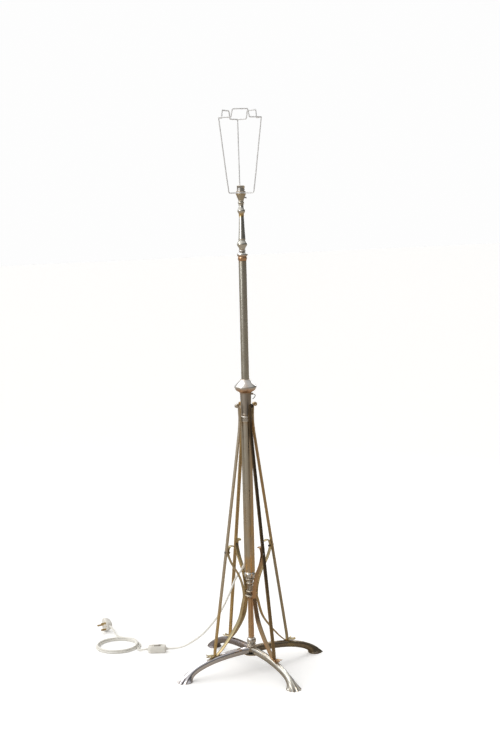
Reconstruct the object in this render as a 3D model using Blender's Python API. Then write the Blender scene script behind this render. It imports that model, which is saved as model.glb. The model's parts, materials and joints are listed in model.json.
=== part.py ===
"""Telescopic four-legged floor lamp in worn silver plate, with its shade carrier and mains flex.

The origin is on the floor under the column, +Z is up, and the legs point along X and Y.
"""

import math

import bmesh
import bpy
from mathutils import Matrix, Vector

MM = 0.001
GAP = 0.3 * MM
ROUND_SIDES = 16
COLUMN_SIDES = 24
WIRE_SIDES = 2

# Legs and hub
LEG_ANGLES = {"front_left": 180, "front_right": 270, "back_right": 0, "back_left": 90}
FOOT_RADIUS = 250 * MM
FOOT_LENGTH = 50 * MM
FOOT_WIDTH = 46 * MM
LEG_WIDTH = 20.5 * MM
LEG_DEPTH = 21.5 * MM
LEG_ROOT_WIDTH = 20 * MM
LEG_ROOT_DEPTH = 22 * MM
HUB_BOSS_HALF = 11 * MM
HUB_PLATE_RADIUS = 25 * MM
HUB_PLATE_BOTTOM = 44.5 * MM
HUB_PLATE_THICKNESS = 3 * MM
LEG_SCREW_PLACE = 19 * MM
LEG_SCREW_RADIUS = 2 * MM
LEG_SCREW_HEAD = 3.5 * MM
LEG_SCREW_LENGTH = 14 * MM

# Column, from the hub up
BUN_RADIUS = 15 * MM
BUN_HEIGHT = 31 * MM
STEM_RADIUS = 9.6 * MM
STEM_HEIGHT = 132 * MM
REEL_RADIUS = 14.5 * MM
REEL_HEIGHT = 66 * MM
REEL_SEAT_RADIUS = 21.6 * MM
BALL_STEP = 1.6 * MM
BALL_HEIGHT = 20 * MM
COLUMN_RADIUS = 16.8 * MM
COLUMN_WALL = 1.9 * MM
COLUMN_HEIGHT = 496 * MM
COLLAR_WALL = 2.1 * MM
COLLAR_HEIGHT = 12 * MM
COLLAR_SKIRT = 6 * MM
SLEEVE_FLARE = 2.8 * MM
SLEEVE_FOOT_STEP = 1.4 * MM
SLEEVE_HEIGHT = 74 * MM
BULB_RADIUS = 35.2 * MM
BULB_FOOT_RADIUS = 19.8 * MM
BULB_HEIGHT = 42 * MM
TIE_ROD_RADIUS = 4 * MM
TIE_NUT_RADIUS = 8 * MM
TIE_NUT_HEIGHT = 6 * MM
SPIGOT_HEIGHT = 9 * MM

# Stays and braces
STAY_WIDTH = 10.5 * MM
STAY_THICKNESS = 7.5 * MM
STAY_FOOT_PLACE = 137 * MM
SCROLL_RADIUS = 7 * MM
SCROLL_THICKNESS = 5 * MM
BRACE_THICKNESS = 3.5 * MM
BRACE_WIDTH = 14 * MM
BRACE_BELLY_WIDTH = 15.5 * MM
LEAF_WIDTH = 23 * MM
BRACE_BACK = 0.9 * MM
BRACE_TOP_HEIGHT = 408 * MM
BRACE_SCREW_DROP = 14 * MM
BRACE_SCREW_RADIUS = 1.9 * MM
BRACE_SCREW_HEAD = 4 * MM
LEAF_LENGTH = 32 * MM

# Telescopic upper part, from the bottom up
TUBE_RADIUS = 12.3 * MM
TUBE_WALL = 1.5 * MM
TUBE_SHOWING = 373 * MM
TUBE_HIDDEN = 223 * MM
TUBE_LIP_HEIGHT = 3 * MM
BUSH_HEIGHT = 20 * MM
BUSH_CLEARANCE = 0.4 * MM
CAP_RADIUS = 17 * MM
CAP_HEIGHT = 35 * MM
BALUSTER_RADIUS = 11 * MM
BALUSTER_KNOP = 16.2 * MM
BALUSTER_HEIGHT = 151 * MM
CUP_RIM = 4 * MM
CUP_HEIGHT = 21.5 * MM
CUP_WALL = 1.5 * MM
CUP_SCREW_RADIUS = 1.2 * MM
HOLDER_RADIUS = 12 * MM
HOLDER_WALL = 0.9 * MM
HOLDER_HEIGHT = 43 * MM
HOLDER_SOCKET_DEPTH = 31 * MM
BAYONET_SLOT_WIDTH = 2.6 * MM
BAYONET_SLOT_DEPTH = 9 * MM
BAYONET_SLOT_TURN = 22
PLUNGER_RADIUS = 2.4 * MM
PLUNGER_PLACE = 5 * MM
PLUNGER_PROUD = 5 * MM
SHADE_RING_WALL = 2.6 * MM
SHADE_RING_HEIGHT = 4 * MM

# Shade carrier
CARRIER_ANGLES = (62.9, 182.9, 302.9)
CARRIER_WIRE = 1.9 * MM
CARRIER_FOOT = 45 * MM
CARRIER_TOP = 75.5 * MM
CARRIER_HEIGHT = 229 * MM
CARRIER_SIDE_BOW = 10 * MM
CARRIER_STEP = 25 * MM
CARRIER_STEP_START = 0.285
CARRIER_STEP_LEAN = 0.04

# Release catch
CATCH_ANGLE = -33
CATCH_WIRE = 1.5 * MM
CATCH_REACH = 9 * MM
CATCH_BARREL = 2.6 * MM
CATCH_WIDTH = 4 * MM
CATCH_PIN = 0.9 * MM
CATCH_EAR = 1.6 * MM

# Flex
FLEX_RADIUS = 3.2 * MM
END_GAP = 1 * MM
EXIT_ANGLE = 111
EXIT_TILT = 55
EXIT_RISE = 24 * MM
GLAND_LENGTH = 22 * MM
GLAND_RADIUS = 4.6 * MM
GLAND_TIP = 4 * MM
COIL_CENTRE = (-0.277, 0.431)
COIL_RADIUS = 67 * MM
COIL_WIDTH = 13.4 * MM
COIL_HEIGHT = 12.4 * MM
SWITCH_CENTRE = (-0.1893, 0.3040)
SWITCH_ANGLE = 150
SWITCH_LENGTH = 60 * MM
SWITCH_WIDTH = 27 * MM
SWITCH_HEIGHT = 23 * MM
ROCKER_LENGTH = 22 * MM
ROCKER_WIDTH = 12 * MM
ROCKER_TILT = 7
PLUG_CENTRE = (-0.234, 0.601)
PLUG_DEPTH = 24 * MM
PLUG_LENGTH = 44 * MM
PLUG_WIDTH = 48 * MM
FLOOR_CLEARANCE = 0.1 * MM

# Levels that follow from the sizes above
LEG_ROOT_BOTTOM = HUB_PLATE_BOTTOM + HUB_PLATE_THICKNESS + GAP
HUB_TOP = LEG_ROOT_BOTTOM + LEG_ROOT_DEPTH
BUN_BOTTOM = HUB_TOP + GAP
STEM_BOTTOM = BUN_BOTTOM + BUN_HEIGHT + GAP
REEL_BOTTOM = STEM_BOTTOM + STEM_HEIGHT + GAP
BALL_BOTTOM = REEL_BOTTOM + REEL_HEIGHT + GAP
COLUMN_BOTTOM = BALL_BOTTOM + BALL_HEIGHT + GAP
COLUMN_TOP = COLUMN_BOTTOM + COLUMN_HEIGHT
COLLAR_BOTTOM = COLUMN_TOP + GAP
COLLAR_TOP = COLLAR_BOTTOM + COLLAR_HEIGHT
SLEEVE_BOTTOM = COLLAR_TOP + GAP
BULB_BOTTOM = SLEEVE_BOTTOM + SLEEVE_HEIGHT + GAP
BULB_TOP = BULB_BOTTOM + BULB_HEIGHT
TUBE_BOTTOM = BULB_TOP - TUBE_HIDDEN
TUBE_TOP = BULB_TOP + TUBE_SHOWING
CAP_BOTTOM = TUBE_TOP + GAP
BALUSTER_BOTTOM = CAP_BOTTOM + CAP_HEIGHT + GAP
CUP_BOTTOM = BALUSTER_BOTTOM + BALUSTER_HEIGHT + GAP
CUP_TOP = CUP_BOTTOM + CUP_HEIGHT
HOLDER_BOTTOM = CUP_BOTTOM + 2 * CUP_WALL + GAP
HOLDER_TOP = HOLDER_BOTTOM + HOLDER_HEIGHT
SEAT_RING_RADIUS = HOLDER_RADIUS + GAP + CARRIER_WIRE
SEAT_RING_LEVEL = CUP_TOP + GAP + CARRIER_WIRE
SHADE_RING_BOTTOM = SEAT_RING_LEVEL + CARRIER_WIRE + GAP
CARRIER_LOW = SEAT_RING_LEVEL + CARRIER_HEIGHT
COLUMN_BORE = COLUMN_RADIUS - COLUMN_WALL
BALL_RADIUS = COLUMN_RADIUS + BALL_STEP
COLLAR_RADIUS = COLUMN_RADIUS + COLLAR_WALL
SLEEVE_FOOT_RADIUS = COLUMN_RADIUS - SLEEVE_FOOT_STEP
SLEEVE_TOP_RADIUS = SLEEVE_FOOT_RADIUS + SLEEVE_FLARE
CUP_RADIUS = HOLDER_RADIUS + CUP_RIM
SHADE_RING_RADIUS = HOLDER_RADIUS + SHADE_RING_WALL
ROD_BORE = TIE_ROD_RADIUS + 2 * GAP
TUBE_BORE = TUBE_RADIUS - TUBE_WALL
SLIDE_BORE = TUBE_RADIUS + BUSH_CLEARANCE
REEL_SEAT_LEVEL = REEL_BOTTOM + 8 * MM


def clear_scene():
    """Removes whatever the file starts with."""
    for item in list(bpy.data.objects):
        bpy.data.objects.remove(item, do_unlink=True)


def make_material(name, colour, metallic, roughness):
    """A Principled material with one colour."""
    made = bpy.data.materials.new(name)
    made.use_nodes = True
    shader = made.node_tree.nodes["Principled BSDF"]
    shader.inputs["Base Color"].default_value = (*colour, 1)
    shader.inputs["Metallic"].default_value = metallic
    shader.inputs["Roughness"].default_value = roughness
    return made


def make_materials():
    """Every material of the lamp, by name."""
    table = {
        "silver_plate": ((0.62, 0.61, 0.57), 1.0, 0.25),
        "worn_plate": ((0.50, 0.47, 0.38), 1.0, 0.32),
        "warm_brass": ((0.60, 0.44, 0.22), 1.0, 0.30),
        "copper_bronze": ((0.55, 0.33, 0.18), 1.0, 0.35),
        "dull_pewter": ((0.34, 0.31, 0.28), 1.0, 0.50),
        "steel_wire": ((0.78, 0.78, 0.78), 1.0, 0.35),
        "dark_steel": ((0.22, 0.21, 0.20), 1.0, 0.45),
        "cream_flex": ((0.86, 0.84, 0.78), 0.0, 0.5),
        "cream_plastic": ((0.90, 0.88, 0.82), 0.0, 0.35),
    }
    return {name: make_material(name, *values) for name, values in table.items()}


def add_object(name, mesh, material, angle=0.0, place=(0, 0, 0)):
    """Puts a mesh into the scene, turned about Z by an angle in degrees."""
    mesh.materials.clear()
    mesh.materials.append(material)
    made = bpy.data.objects.new(name, mesh)
    made.location = place
    made.rotation_euler = (0, 0, math.radians(angle))
    bpy.context.collection.objects.link(made)
    return made


def finish_mesh(name, bm, smooth=True):
    """Turns a bmesh into a mesh with its faces outward and its round sides smooth."""
    bmesh.ops.recalc_face_normals(bm, faces=bm.faces)
    mesh = bpy.data.meshes.new(name)
    bm.to_mesh(mesh)
    bm.free()
    if smooth:
        mesh.shade_smooth()
        mesh.set_sharp_from_angle(angle=math.radians(38))
    return mesh


def turned_mesh(name, profile, sides=ROUND_SIDES):
    """A lathe solid. The profile lists (radius, height) once round the section."""
    bm = bmesh.new()
    rings = []
    for radius, height in profile:
        if radius < 1e-7:
            rings.append([bm.verts.new((0, 0, height))])
            continue
        turns = [2 * math.pi * k / sides for k in range(sides)]
        ring = [bm.verts.new((radius * math.cos(t), radius * math.sin(t), height)) for t in turns]
        rings.append(ring)
    solid = len(rings[0]) == 1 and len(rings[-1]) == 1
    pairs = list(zip(rings, rings[1:]))
    if not solid:
        pairs.append((rings[-1], rings[0]))
    for upper, lower in pairs:
        for k in range(sides):
            corners = [upper[k % len(upper)], upper[(k + 1) % len(upper)]]
            corners += [lower[(k + 1) % len(lower)], lower[k % len(lower)]]
            corners = list(dict.fromkeys(corners))
            bm.faces.new(corners)
    return finish_mesh(name, bm)


def turned(name, profile, material, bore=0.0, sides=ROUND_SIDES):
    """A turned piece from its outer profile, top to bottom, with a straight bore or none."""
    top, bottom = profile[0][1], profile[-1][1]
    outline = [(bore, top), *profile, (bore, bottom)]
    return add_object(name, turned_mesh(name, outline, sides), material)


def arc(centre, radius, start, end, steps):
    """Points (x, z) along an arc, with the angles in degrees."""
    turns = [math.radians(start + (end - start) * k / steps) for k in range(steps + 1)]
    return [(centre[0] + radius * math.cos(t), centre[1] + radius * math.sin(t)) for t in turns]


def bead(radius, level, half_height, neck, steps=4):
    """Profile points of a rounded bead, top to bottom, swelling from a neck radius."""
    turns = [math.pi * (0.5 - k / steps) for k in range(steps + 1)]
    swell = radius - neck
    return [(neck + swell * math.cos(t), level + half_height * math.sin(t)) for t in turns]


def smooth(points, steps):
    """A Catmull-Rom curve through points of any dimension."""
    first = [2 * a - b for a, b in zip(points[0], points[1])]
    last = [2 * a - b for a, b in zip(points[-1], points[-2])]
    padded = [first, *points, last]
    found = []
    for before, start, end, after in zip(padded, padded[1:], padded[2:], padded[3:]):
        for k in range(steps):
            t = k / steps
            weights = (
                -0.5 * t + t**2 - 0.5 * t**3,
                1 - 2.5 * t**2 + 1.5 * t**3,
                0.5 * t + 2 * t**2 - 1.5 * t**3,
                -0.5 * t**2 + 0.5 * t**3,
            )
            values = zip(before, start, end, after)
            found.append([sum(w * v for w, v in zip(weights, four)) for four in values])
    return found + [list(points[-1])]


def spaced(points, spacing):
    """The points of a path moved to about equal distances along it."""
    path = [Vector(p) for p in points]
    lengths = [0.0]
    for a, b in zip(path, path[1:]):
        lengths.append(lengths[-1] + (b - a).length)
    count = max(2, round(lengths[-1] / spacing))
    found, k = [], 0
    for step in range(count + 1):
        wanted = lengths[-1] * step / count
        while k < len(path) - 2 and lengths[k + 1] < wanted:
            k += 1
        share = (wanted - lengths[k]) / (lengths[k + 1] - lengths[k])
        found.append(path[k].lerp(path[k + 1], share))
    return found


def rectangle(thickness, width, chamfer):
    """Corners (normal, side) of a bar's section with its edges taken off."""
    t, w = thickness / 2, width / 2
    if not chamfer:
        return [(t, -w), (t, w), (-t, w), (-t, -w)]
    c = min(chamfer, 0.6 * t, 0.6 * w)
    near = [(t, w - c), (t - c, w), (-t + c, w), (-t, w - c)]
    return near + [(-n, -s) for n, s in near]


def oval(thickness, width, sides=10):
    """Corners (normal, side) of a squared oval section."""
    found = []
    for k in range(sides):
        turn = 2 * math.pi * (k + 0.5) / sides
        c, s = math.cos(turn), math.sin(turn)
        normal = math.copysign(abs(c) ** 0.75, c) * thickness / 2
        side = math.copysign(abs(s) ** 0.75, s) * width / 2
        found.append((normal, side))
    return found


def swept_mesh(name, stations, section, start=None):
    """A bar along (radius, height, thickness, width) stations in the XZ plane.

    A station may add the tilt of its section in degrees, in place of the path's own. start is
    a tangent (x, z) for the first station.
    """
    bm = bmesh.new()
    rings = []
    for k, station in enumerate(stations):
        radius, height, thickness, width = station[:4]
        before, after = stations[max(k - 1, 0)], stations[min(k + 1, len(stations) - 1)]
        tangent = Vector((after[0] - before[0], after[1] - before[1]))
        if k == 0 and start:
            tangent = Vector(start)
        if len(station) == 5:
            tilt = math.radians(station[4])
            tangent = Vector((math.cos(tilt), math.sin(tilt)))
        tangent.normalize()
        normal = (-tangent.y, tangent.x)
        ring = []
        for along, side in section(thickness, width):
            place = (radius + along * normal[0], side, height + along * normal[1])
            ring.append(bm.verts.new(place))
        rings.append(ring)
    count = len(rings[0])
    for lower, upper in zip(rings, rings[1:]):
        for k in range(count):
            following = (k + 1) % count
            bm.faces.new((lower[k], lower[following], upper[following], upper[k]))
    bm.faces.new(rings[0])
    bm.faces.new(rings[-1])
    return finish_mesh(name, bm)


def cylinder_mesh(name, radius, length, sides=12, tip=None):
    """A solid cylinder, or cone, from the origin up along Z."""
    tip = radius if tip is None else tip
    return turned_mesh(name, [(0, length), (tip, length), (radius, 0), (0, 0)], sides)


def box_mesh(name, size, chamfer=0.0):
    """A box about the origin with its edges taken off."""
    bm = bmesh.new()
    bmesh.ops.create_cube(bm, size=1, matrix=Matrix.Diagonal((*size, 1)))
    if chamfer:
        bmesh.ops.bevel(bm, geom=bm.edges[:], offset=chamfer, segments=2, affect="EDGES")
    return finish_mesh(name, bm, smooth=False)


def wire(name, points, radius, material, closed=False):
    """A round wire or flex through points."""
    curve = bpy.data.curves.new(name, "CURVE")
    curve.dimensions = "3D"
    curve.bevel_depth = radius
    curve.bevel_resolution = WIRE_SIDES
    curve.use_fill_caps = not closed
    spline = curve.splines.new("POLY")
    spline.points.add(len(points) - 1)
    for target, point in zip(spline.points, points):
        target.co = (*point, 1)
    spline.use_cyclic_u = closed
    curve.materials.append(material)
    made = bpy.data.objects.new(name, curve)
    bpy.context.collection.objects.link(made)
    return made


def cut(target, tool, operation="DIFFERENCE"):
    """A Boolean between a piece and a hidden tool object."""
    tool.hide_render = True
    tool.display_type = "WIRE"
    change = target.modifiers.new(tool.name, "BOOLEAN")
    change.object = tool
    change.operation = operation
    change.solver = "EXACT"


def tool_object(name, mesh, matrix):
    """A helper for a Boolean, placed by a matrix."""
    made = bpy.data.objects.new(name, mesh)
    made.matrix_world = matrix
    bpy.context.collection.objects.link(made)
    return made


def turn_z(angle):
    """A rotation about Z by an angle in degrees."""
    return Matrix.Rotation(math.radians(angle), 4, "Z")


def polar(radius, angle, height):
    """A point from its radius, its angle in degrees and its height."""
    turn = math.radians(angle)
    return Vector((radius * math.cos(turn), radius * math.sin(turn), height))


def leg_path():
    """Stations of an arched leg, from the hub to the flat sole."""
    root_level = LEG_ROOT_BOTTOM + LEG_ROOT_DEPTH / 2
    ankle = 0.92 * LEG_WIDTH
    points = [
        (HUB_BOSS_HALF + GAP, root_level, LEG_ROOT_DEPTH, LEG_ROOT_WIDTH, 0),
        (FOOT_RADIUS * 0.18, root_level + 0.5 * MM, LEG_ROOT_DEPTH + 1 * MM, LEG_ROOT_WIDTH + 1 * MM, -2),
        (FOOT_RADIUS * 0.40, 56 * MM, LEG_DEPTH + 1 * MM, LEG_WIDTH, -7),
        (FOOT_RADIUS * 0.60, 48.5 * MM, LEG_DEPTH, LEG_WIDTH, -13),
        (FOOT_RADIUS * 0.75, 38.5 * MM, LEG_DEPTH, ankle, -21),
        (FOOT_RADIUS * 0.85, 28.5 * MM, LEG_DEPTH, ankle, -32),
        (FOOT_RADIUS * 0.92, 18.5 * MM, LEG_DEPTH + 4 * MM, ankle + 6 * MM, -52),
        (FOOT_RADIUS * 0.968, 8.5 * MM, 0.72 * FOOT_LENGTH, 0.75 * FOOT_WIDTH, -76),
        (FOOT_RADIUS * 0.995, 2.2 * MM, 0.97 * FOOT_LENGTH, 0.97 * FOOT_WIDTH, -90),
        (FOOT_RADIUS, 0, FOOT_LENGTH, FOOT_WIDTH, -90),
    ]
    return smooth(points, 2)


def leg_top(radius):
    """Height of the leg's upper side at a radius along the leg."""
    path = leg_path()
    for near, far in zip(path, path[1:]):
        if near[0] <= radius <= far[0]:
            share = (radius - near[0]) / (far[0] - near[0])
            centre = near[1] + share * (far[1] - near[1])
            depth = near[2] + share * (far[2] - near[2])
            slope = (far[1] - near[1]) / (far[0] - near[0])
            return centre + depth / 2 * math.sqrt(1 + slope**2)
    return path[-1][1]


def build_legs(materials):
    """The hub, four arched legs and the screw that holds each of them."""
    plate_top = HUB_PLATE_BOTTOM + HUB_PLATE_THICKNESS
    hub = turned(
        "base_hub",
        [(HUB_PLATE_RADIUS, plate_top), (HUB_PLATE_RADIUS, HUB_PLATE_BOTTOM)],
        materials["dull_pewter"],
    )
    hub.rotation_euler.z = math.pi / ROUND_SIDES
    boss_height = HUB_TOP - plate_top + HUB_PLATE_THICKNESS / 2
    boss = box_mesh("hub_boss", (2 * HUB_BOSS_HALF, 2 * HUB_BOSS_HALF, boss_height))
    boss_tool = tool_object("hub_boss", boss, Matrix.Translation((0, 0, HUB_TOP - boss_height / 2)))
    bore_mesh = cylinder_mesh("hub_bore", ROD_BORE, 2 * HUB_TOP, ROUND_SIDES)
    bore_tool = tool_object("hub_bore", bore_mesh, Matrix.Identity(4))
    cut(hub, boss_tool, "UNION")
    cut(hub, bore_tool)
    leg_mesh = swept_mesh("leg", leg_path(), oval)
    screw_profile = [
        (0, HUB_PLATE_BOTTOM - GAP + LEG_SCREW_LENGTH),
        (LEG_SCREW_RADIUS, HUB_PLATE_BOTTOM - GAP + LEG_SCREW_LENGTH),
        (LEG_SCREW_RADIUS, HUB_PLATE_BOTTOM - GAP),
        (LEG_SCREW_HEAD, HUB_PLATE_BOTTOM - GAP),
        (0.7 * LEG_SCREW_HEAD, HUB_PLATE_BOTTOM - GAP - 2 * MM),
        (0, HUB_PLATE_BOTTOM - GAP - 2 * MM),
    ]
    screw_mesh = turned_mesh("leg_screw", screw_profile, 10)
    hole_length = LEG_SCREW_LENGTH + 2 * GAP
    hole_mesh = cylinder_mesh("screw_hole", LEG_SCREW_RADIUS + GAP, hole_length + 3 * MM, 10)
    for side, angle in LEG_ANGLES.items():
        leg = add_object(f"leg_{side}", leg_mesh, materials["silver_plate"], angle)
        place = polar(LEG_SCREW_PLACE, angle, 0)
        add_object(f"leg_screw_{side}", screw_mesh, materials["dark_steel"], angle, place)
        hole_place = place + Vector((0, 0, HUB_PLATE_BOTTOM - 3 * MM))
        hole = tool_object(f"screw_hole_{side}", hole_mesh, Matrix.Translation(hole_place))
        cut(leg, hole)
        cut(hub, hole)


def build_lower_column(materials):
    """The turned pieces between the hub and the main column, and the tie rod inside them."""
    bun_top = BUN_BOTTOM + BUN_HEIGHT
    dome = bead(BUN_RADIUS, bun_top - 12 * MM, 10 * MM, STEM_RADIUS - 1 * MM, 6)
    rings = bead(BUN_RADIUS, BUN_BOTTOM + 11 * MM, 2.4 * MM, BUN_RADIUS - 2 * MM)
    rings += bead(BUN_RADIUS + 0.6 * MM, BUN_BOTTOM + 5 * MM, 2.4 * MM, BUN_RADIUS - 2 * MM)
    foot = [(BUN_RADIUS - 1.5 * MM, BUN_BOTTOM)]
    head = [(STEM_RADIUS - 1 * MM, bun_top)]
    turned("base_bun", head + dome + rings + foot, materials["silver_plate"], ROD_BORE)

    stem_top = STEM_BOTTOM + STEM_HEIGHT
    stem = [
        (STEM_RADIUS - 1.4 * MM, stem_top),
        (STEM_RADIUS - 1 * MM, stem_top - 0.3 * STEM_HEIGHT),
        (STEM_RADIUS, STEM_BOTTOM + 0.3 * STEM_HEIGHT),
        (STEM_RADIUS - 0.4 * MM, STEM_BOTTOM),
    ]
    turned("lower_stem", stem, materials["copper_bronze"], ROD_BORE)

    reel_top = REEL_BOTTOM + REEL_HEIGHT
    waist = 0.68 * REEL_RADIUS
    reel = [(waist, reel_top)]
    reel += bead(REEL_RADIUS, reel_top - 5 * MM, 4 * MM, waist)
    reel += bead(0.86 * REEL_RADIUS, reel_top - 18.5 * MM, 3 * MM, waist)
    reel += bead(0.95 * REEL_RADIUS, REEL_BOTTOM + 20 * MM, 3.5 * MM, waist)
    reel += bead(REEL_SEAT_RADIUS, REEL_SEAT_LEVEL, 3.5 * MM, waist)
    reel += [(waist, REEL_BOTTOM)]
    turned("knop_reel", reel, materials["worn_plate"], ROD_BORE)

    ball_top = BALL_BOTTOM + BALL_HEIGHT
    spigot = COLUMN_BORE - GAP
    ball = [(spigot, ball_top + SPIGOT_HEIGHT), (spigot, ball_top)]
    ball += bead(BALL_RADIUS, ball_top - BALL_HEIGHT / 2, BALL_HEIGHT / 2, spigot, 6)[1:]
    turned("column_ball", ball, materials["silver_plate"], ROD_BORE)

    rod_bottom = HUB_PLATE_BOTTOM - TIE_NUT_HEIGHT
    rod_top = ball_top + SPIGOT_HEIGHT + GAP + TIE_NUT_HEIGHT + 2 * MM
    rod = [
        (0, rod_top),
        (TIE_ROD_RADIUS, rod_top),
        (TIE_ROD_RADIUS, HUB_PLATE_BOTTOM - GAP),
        (TIE_NUT_RADIUS, HUB_PLATE_BOTTOM - GAP),
        (TIE_NUT_RADIUS - 1 * MM, rod_bottom),
        (0, rod_bottom),
    ]
    add_object("tie_rod", turned_mesh("tie_rod", rod, 12), materials["dark_steel"])
    nut_bottom = ball_top + SPIGOT_HEIGHT + GAP
    nut = [(TIE_NUT_RADIUS, nut_bottom + TIE_NUT_HEIGHT), (TIE_NUT_RADIUS, nut_bottom)]
    nut_bore = (TIE_ROD_RADIUS + GAP) / math.cos(math.pi / 6)
    turned("tie_nut", nut, materials["dark_steel"], nut_bore, 6)


def exit_matrix():
    """The flex exit's frame: its origin on the column's wall, +Z along the way out."""
    place = polar(COLUMN_RADIUS, EXIT_ANGLE, COLUMN_BOTTOM + EXIT_RISE)
    tip = Matrix.Rotation(math.radians(90 + EXIT_TILT), 4, "Y")
    return Matrix.Translation(place) @ turn_z(EXIT_ANGLE) @ tip


def build_column(materials):
    """The main column, its collar, the dull sleeve, the bulb and the flex gland."""
    column = turned(
        "main_column",
        [(COLUMN_RADIUS, COLUMN_TOP), (COLUMN_RADIUS, COLUMN_BOTTOM)],
        materials["worn_plate"],
        COLUMN_BORE,
        COLUMN_SIDES,
    )
    way_out = exit_matrix()
    hole_start = -3.2 * COLUMN_WALL
    hole_mesh = cylinder_mesh("exit_hole", GLAND_RADIUS + GAP, -2 * hole_start + 8 * MM, 12)
    hole = tool_object("exit_hole", hole_mesh, way_out @ Matrix.Translation((0, 0, hole_start)))
    cut(column, hole)
    gland_start = -1.2 * COLUMN_WALL
    gland_mesh = cylinder_mesh("gland", GLAND_RADIUS, GLAND_LENGTH - gland_start, 12, GLAND_TIP)
    gland = add_object("cable_gland", gland_mesh, materials["cream_plastic"])
    gland.matrix_world = way_out @ Matrix.Translation((0, 0, gland_start))

    skirt = COLUMN_RADIUS + GAP
    collar = [
        (COLUMN_BORE, COLLAR_TOP),
        (COLLAR_RADIUS - 2 * MM, COLLAR_TOP),
        *bead(COLLAR_RADIUS, COLLAR_TOP - 3 * MM, 2.4 * MM, COLLAR_RADIUS - 1 * MM),
        (COLLAR_RADIUS - 0.5 * MM, COLLAR_BOTTOM - COLLAR_SKIRT),
        (skirt, COLLAR_BOTTOM - COLLAR_SKIRT),
        (skirt, COLLAR_BOTTOM),
        (COLUMN_BORE, COLLAR_BOTTOM),
    ]
    collar_mesh = turned_mesh("column_collar", collar, COLUMN_SIDES)
    add_object("column_collar", collar_mesh, materials["silver_plate"])

    sleeve_top = SLEEVE_BOTTOM + SLEEVE_HEIGHT
    sleeve = turned(
        "tapered_sleeve",
        [(SLEEVE_TOP_RADIUS, sleeve_top), (SLEEVE_FOOT_RADIUS, SLEEVE_BOTTOM)],
        materials["dull_pewter"],
        SLIDE_BORE,
    )
    build_catch(materials, sleeve)

    middle = BULB_BOTTOM + 0.42 * BULB_HEIGHT
    neck = TUBE_RADIUS + 3 * MM
    bulb = [
        (neck, BULB_TOP),
        (neck + 1.5 * MM, BULB_TOP - 2 * MM),
        (0.72 * BULB_RADIUS, BULB_TOP - 0.33 * BULB_HEIGHT),
        (0.93 * BULB_RADIUS, middle + 3.5 * MM),
        (BULB_RADIUS, middle),
        (0.96 * BULB_RADIUS, middle - 3.5 * MM),
        (0.83 * BULB_RADIUS, BULB_BOTTOM + 0.14 * BULB_HEIGHT),
        (BULB_FOOT_RADIUS + 4 * MM, BULB_BOTTOM + 2 * MM),
        (BULB_FOOT_RADIUS, BULB_BOTTOM),
    ]
    turned("height_bulb", bulb, materials["silver_plate"], SLIDE_BORE, COLUMN_SIDES)


def catch_frame():
    """The release catch's frame: its origin on the pivot, +X outward and Y along the pin."""
    stand_off = SLEEVE_TOP_RADIUS + CATCH_BARREL + 2 * GAP
    level = BULB_BOTTOM - CATCH_BARREL - 2.5 * MM
    return Matrix.Translation(polar(stand_off, CATCH_ANGLE, level)) @ turn_z(CATCH_ANGLE)


def build_catch(materials, sleeve):
    """The sprung release catch on its pin, between two ears on the sleeve."""
    frame = catch_frame()
    sideways = Matrix.Rotation(math.radians(-90), 4, "X")
    loop_path = [
        (-0.4 * MM, -1.6 * MM),
        (0.45 * CATCH_REACH, -1.5 * MM),
        (0.9 * CATCH_REACH, -0.38 * CATCH_REACH),
        (CATCH_REACH, -0.72 * CATCH_REACH),
        (0.86 * CATCH_REACH, -1.05 * CATCH_REACH),
        (0.3 * CATCH_REACH, -1.7 * CATCH_REACH),
        (-0.04 * CATCH_REACH, -1.85 * CATCH_REACH),
    ]
    stations = [(x, z, 2 * CATCH_WIRE * 0.6, CATCH_WIDTH) for x, z in smooth(loop_path, 3)]
    loop_mesh = swept_mesh("catch", stations, rectangle_bar)
    loop = add_object("release_catch", loop_mesh, materials["steel_wire"])
    loop.matrix_world = frame
    barrel_mesh = cylinder_mesh("catch_barrel", CATCH_BARREL, CATCH_WIDTH, 12)
    barrel_place = frame @ Matrix.Translation((0, -CATCH_WIDTH / 2, 0)) @ sideways
    cut(loop, tool_object("catch_barrel", barrel_mesh, barrel_place), "UNION")
    ear_gap = CATCH_WIDTH / 2 + GAP
    pin_length = 2 * (ear_gap + CATCH_EAR + 0.4 * MM)
    hole_mesh = cylinder_mesh("pin_hole", CATCH_PIN + GAP, pin_length + 4 * MM, 10)
    hole_place = frame @ Matrix.Translation((0, -pin_length / 2 - 2 * MM, 0)) @ sideways
    hole = tool_object("pin_hole", hole_mesh, hole_place)
    cut(loop, hole)
    pin = add_object("catch_pin", cylinder_mesh("pin", CATCH_PIN, pin_length, 10), materials["dark_steel"])
    pin.matrix_world = frame @ Matrix.Translation((0, -pin_length / 2, 0)) @ sideways
    ear_depth = 2 * CATCH_BARREL + 3.5 * MM
    ear_mesh = box_mesh("ear", (ear_depth, CATCH_EAR, 2 * CATCH_BARREL))
    for side in (-1, 1):
        ear_place = (CATCH_BARREL - ear_depth / 2, side * (ear_gap + CATCH_EAR / 2), 0)
        ear = tool_object(f"ear_{side}", ear_mesh, frame @ Matrix.Translation(ear_place))
        cut(sleeve, ear, "UNION")
    cut(sleeve, hole)


def rectangle_bar(thickness, width):
    """The plain section of a strip."""
    return rectangle(thickness, width, 0)


def chamfered_bar(thickness, width):
    """The section of a stay, with its edges taken off."""
    return rectangle(thickness, width, 1.4 * MM)


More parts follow.
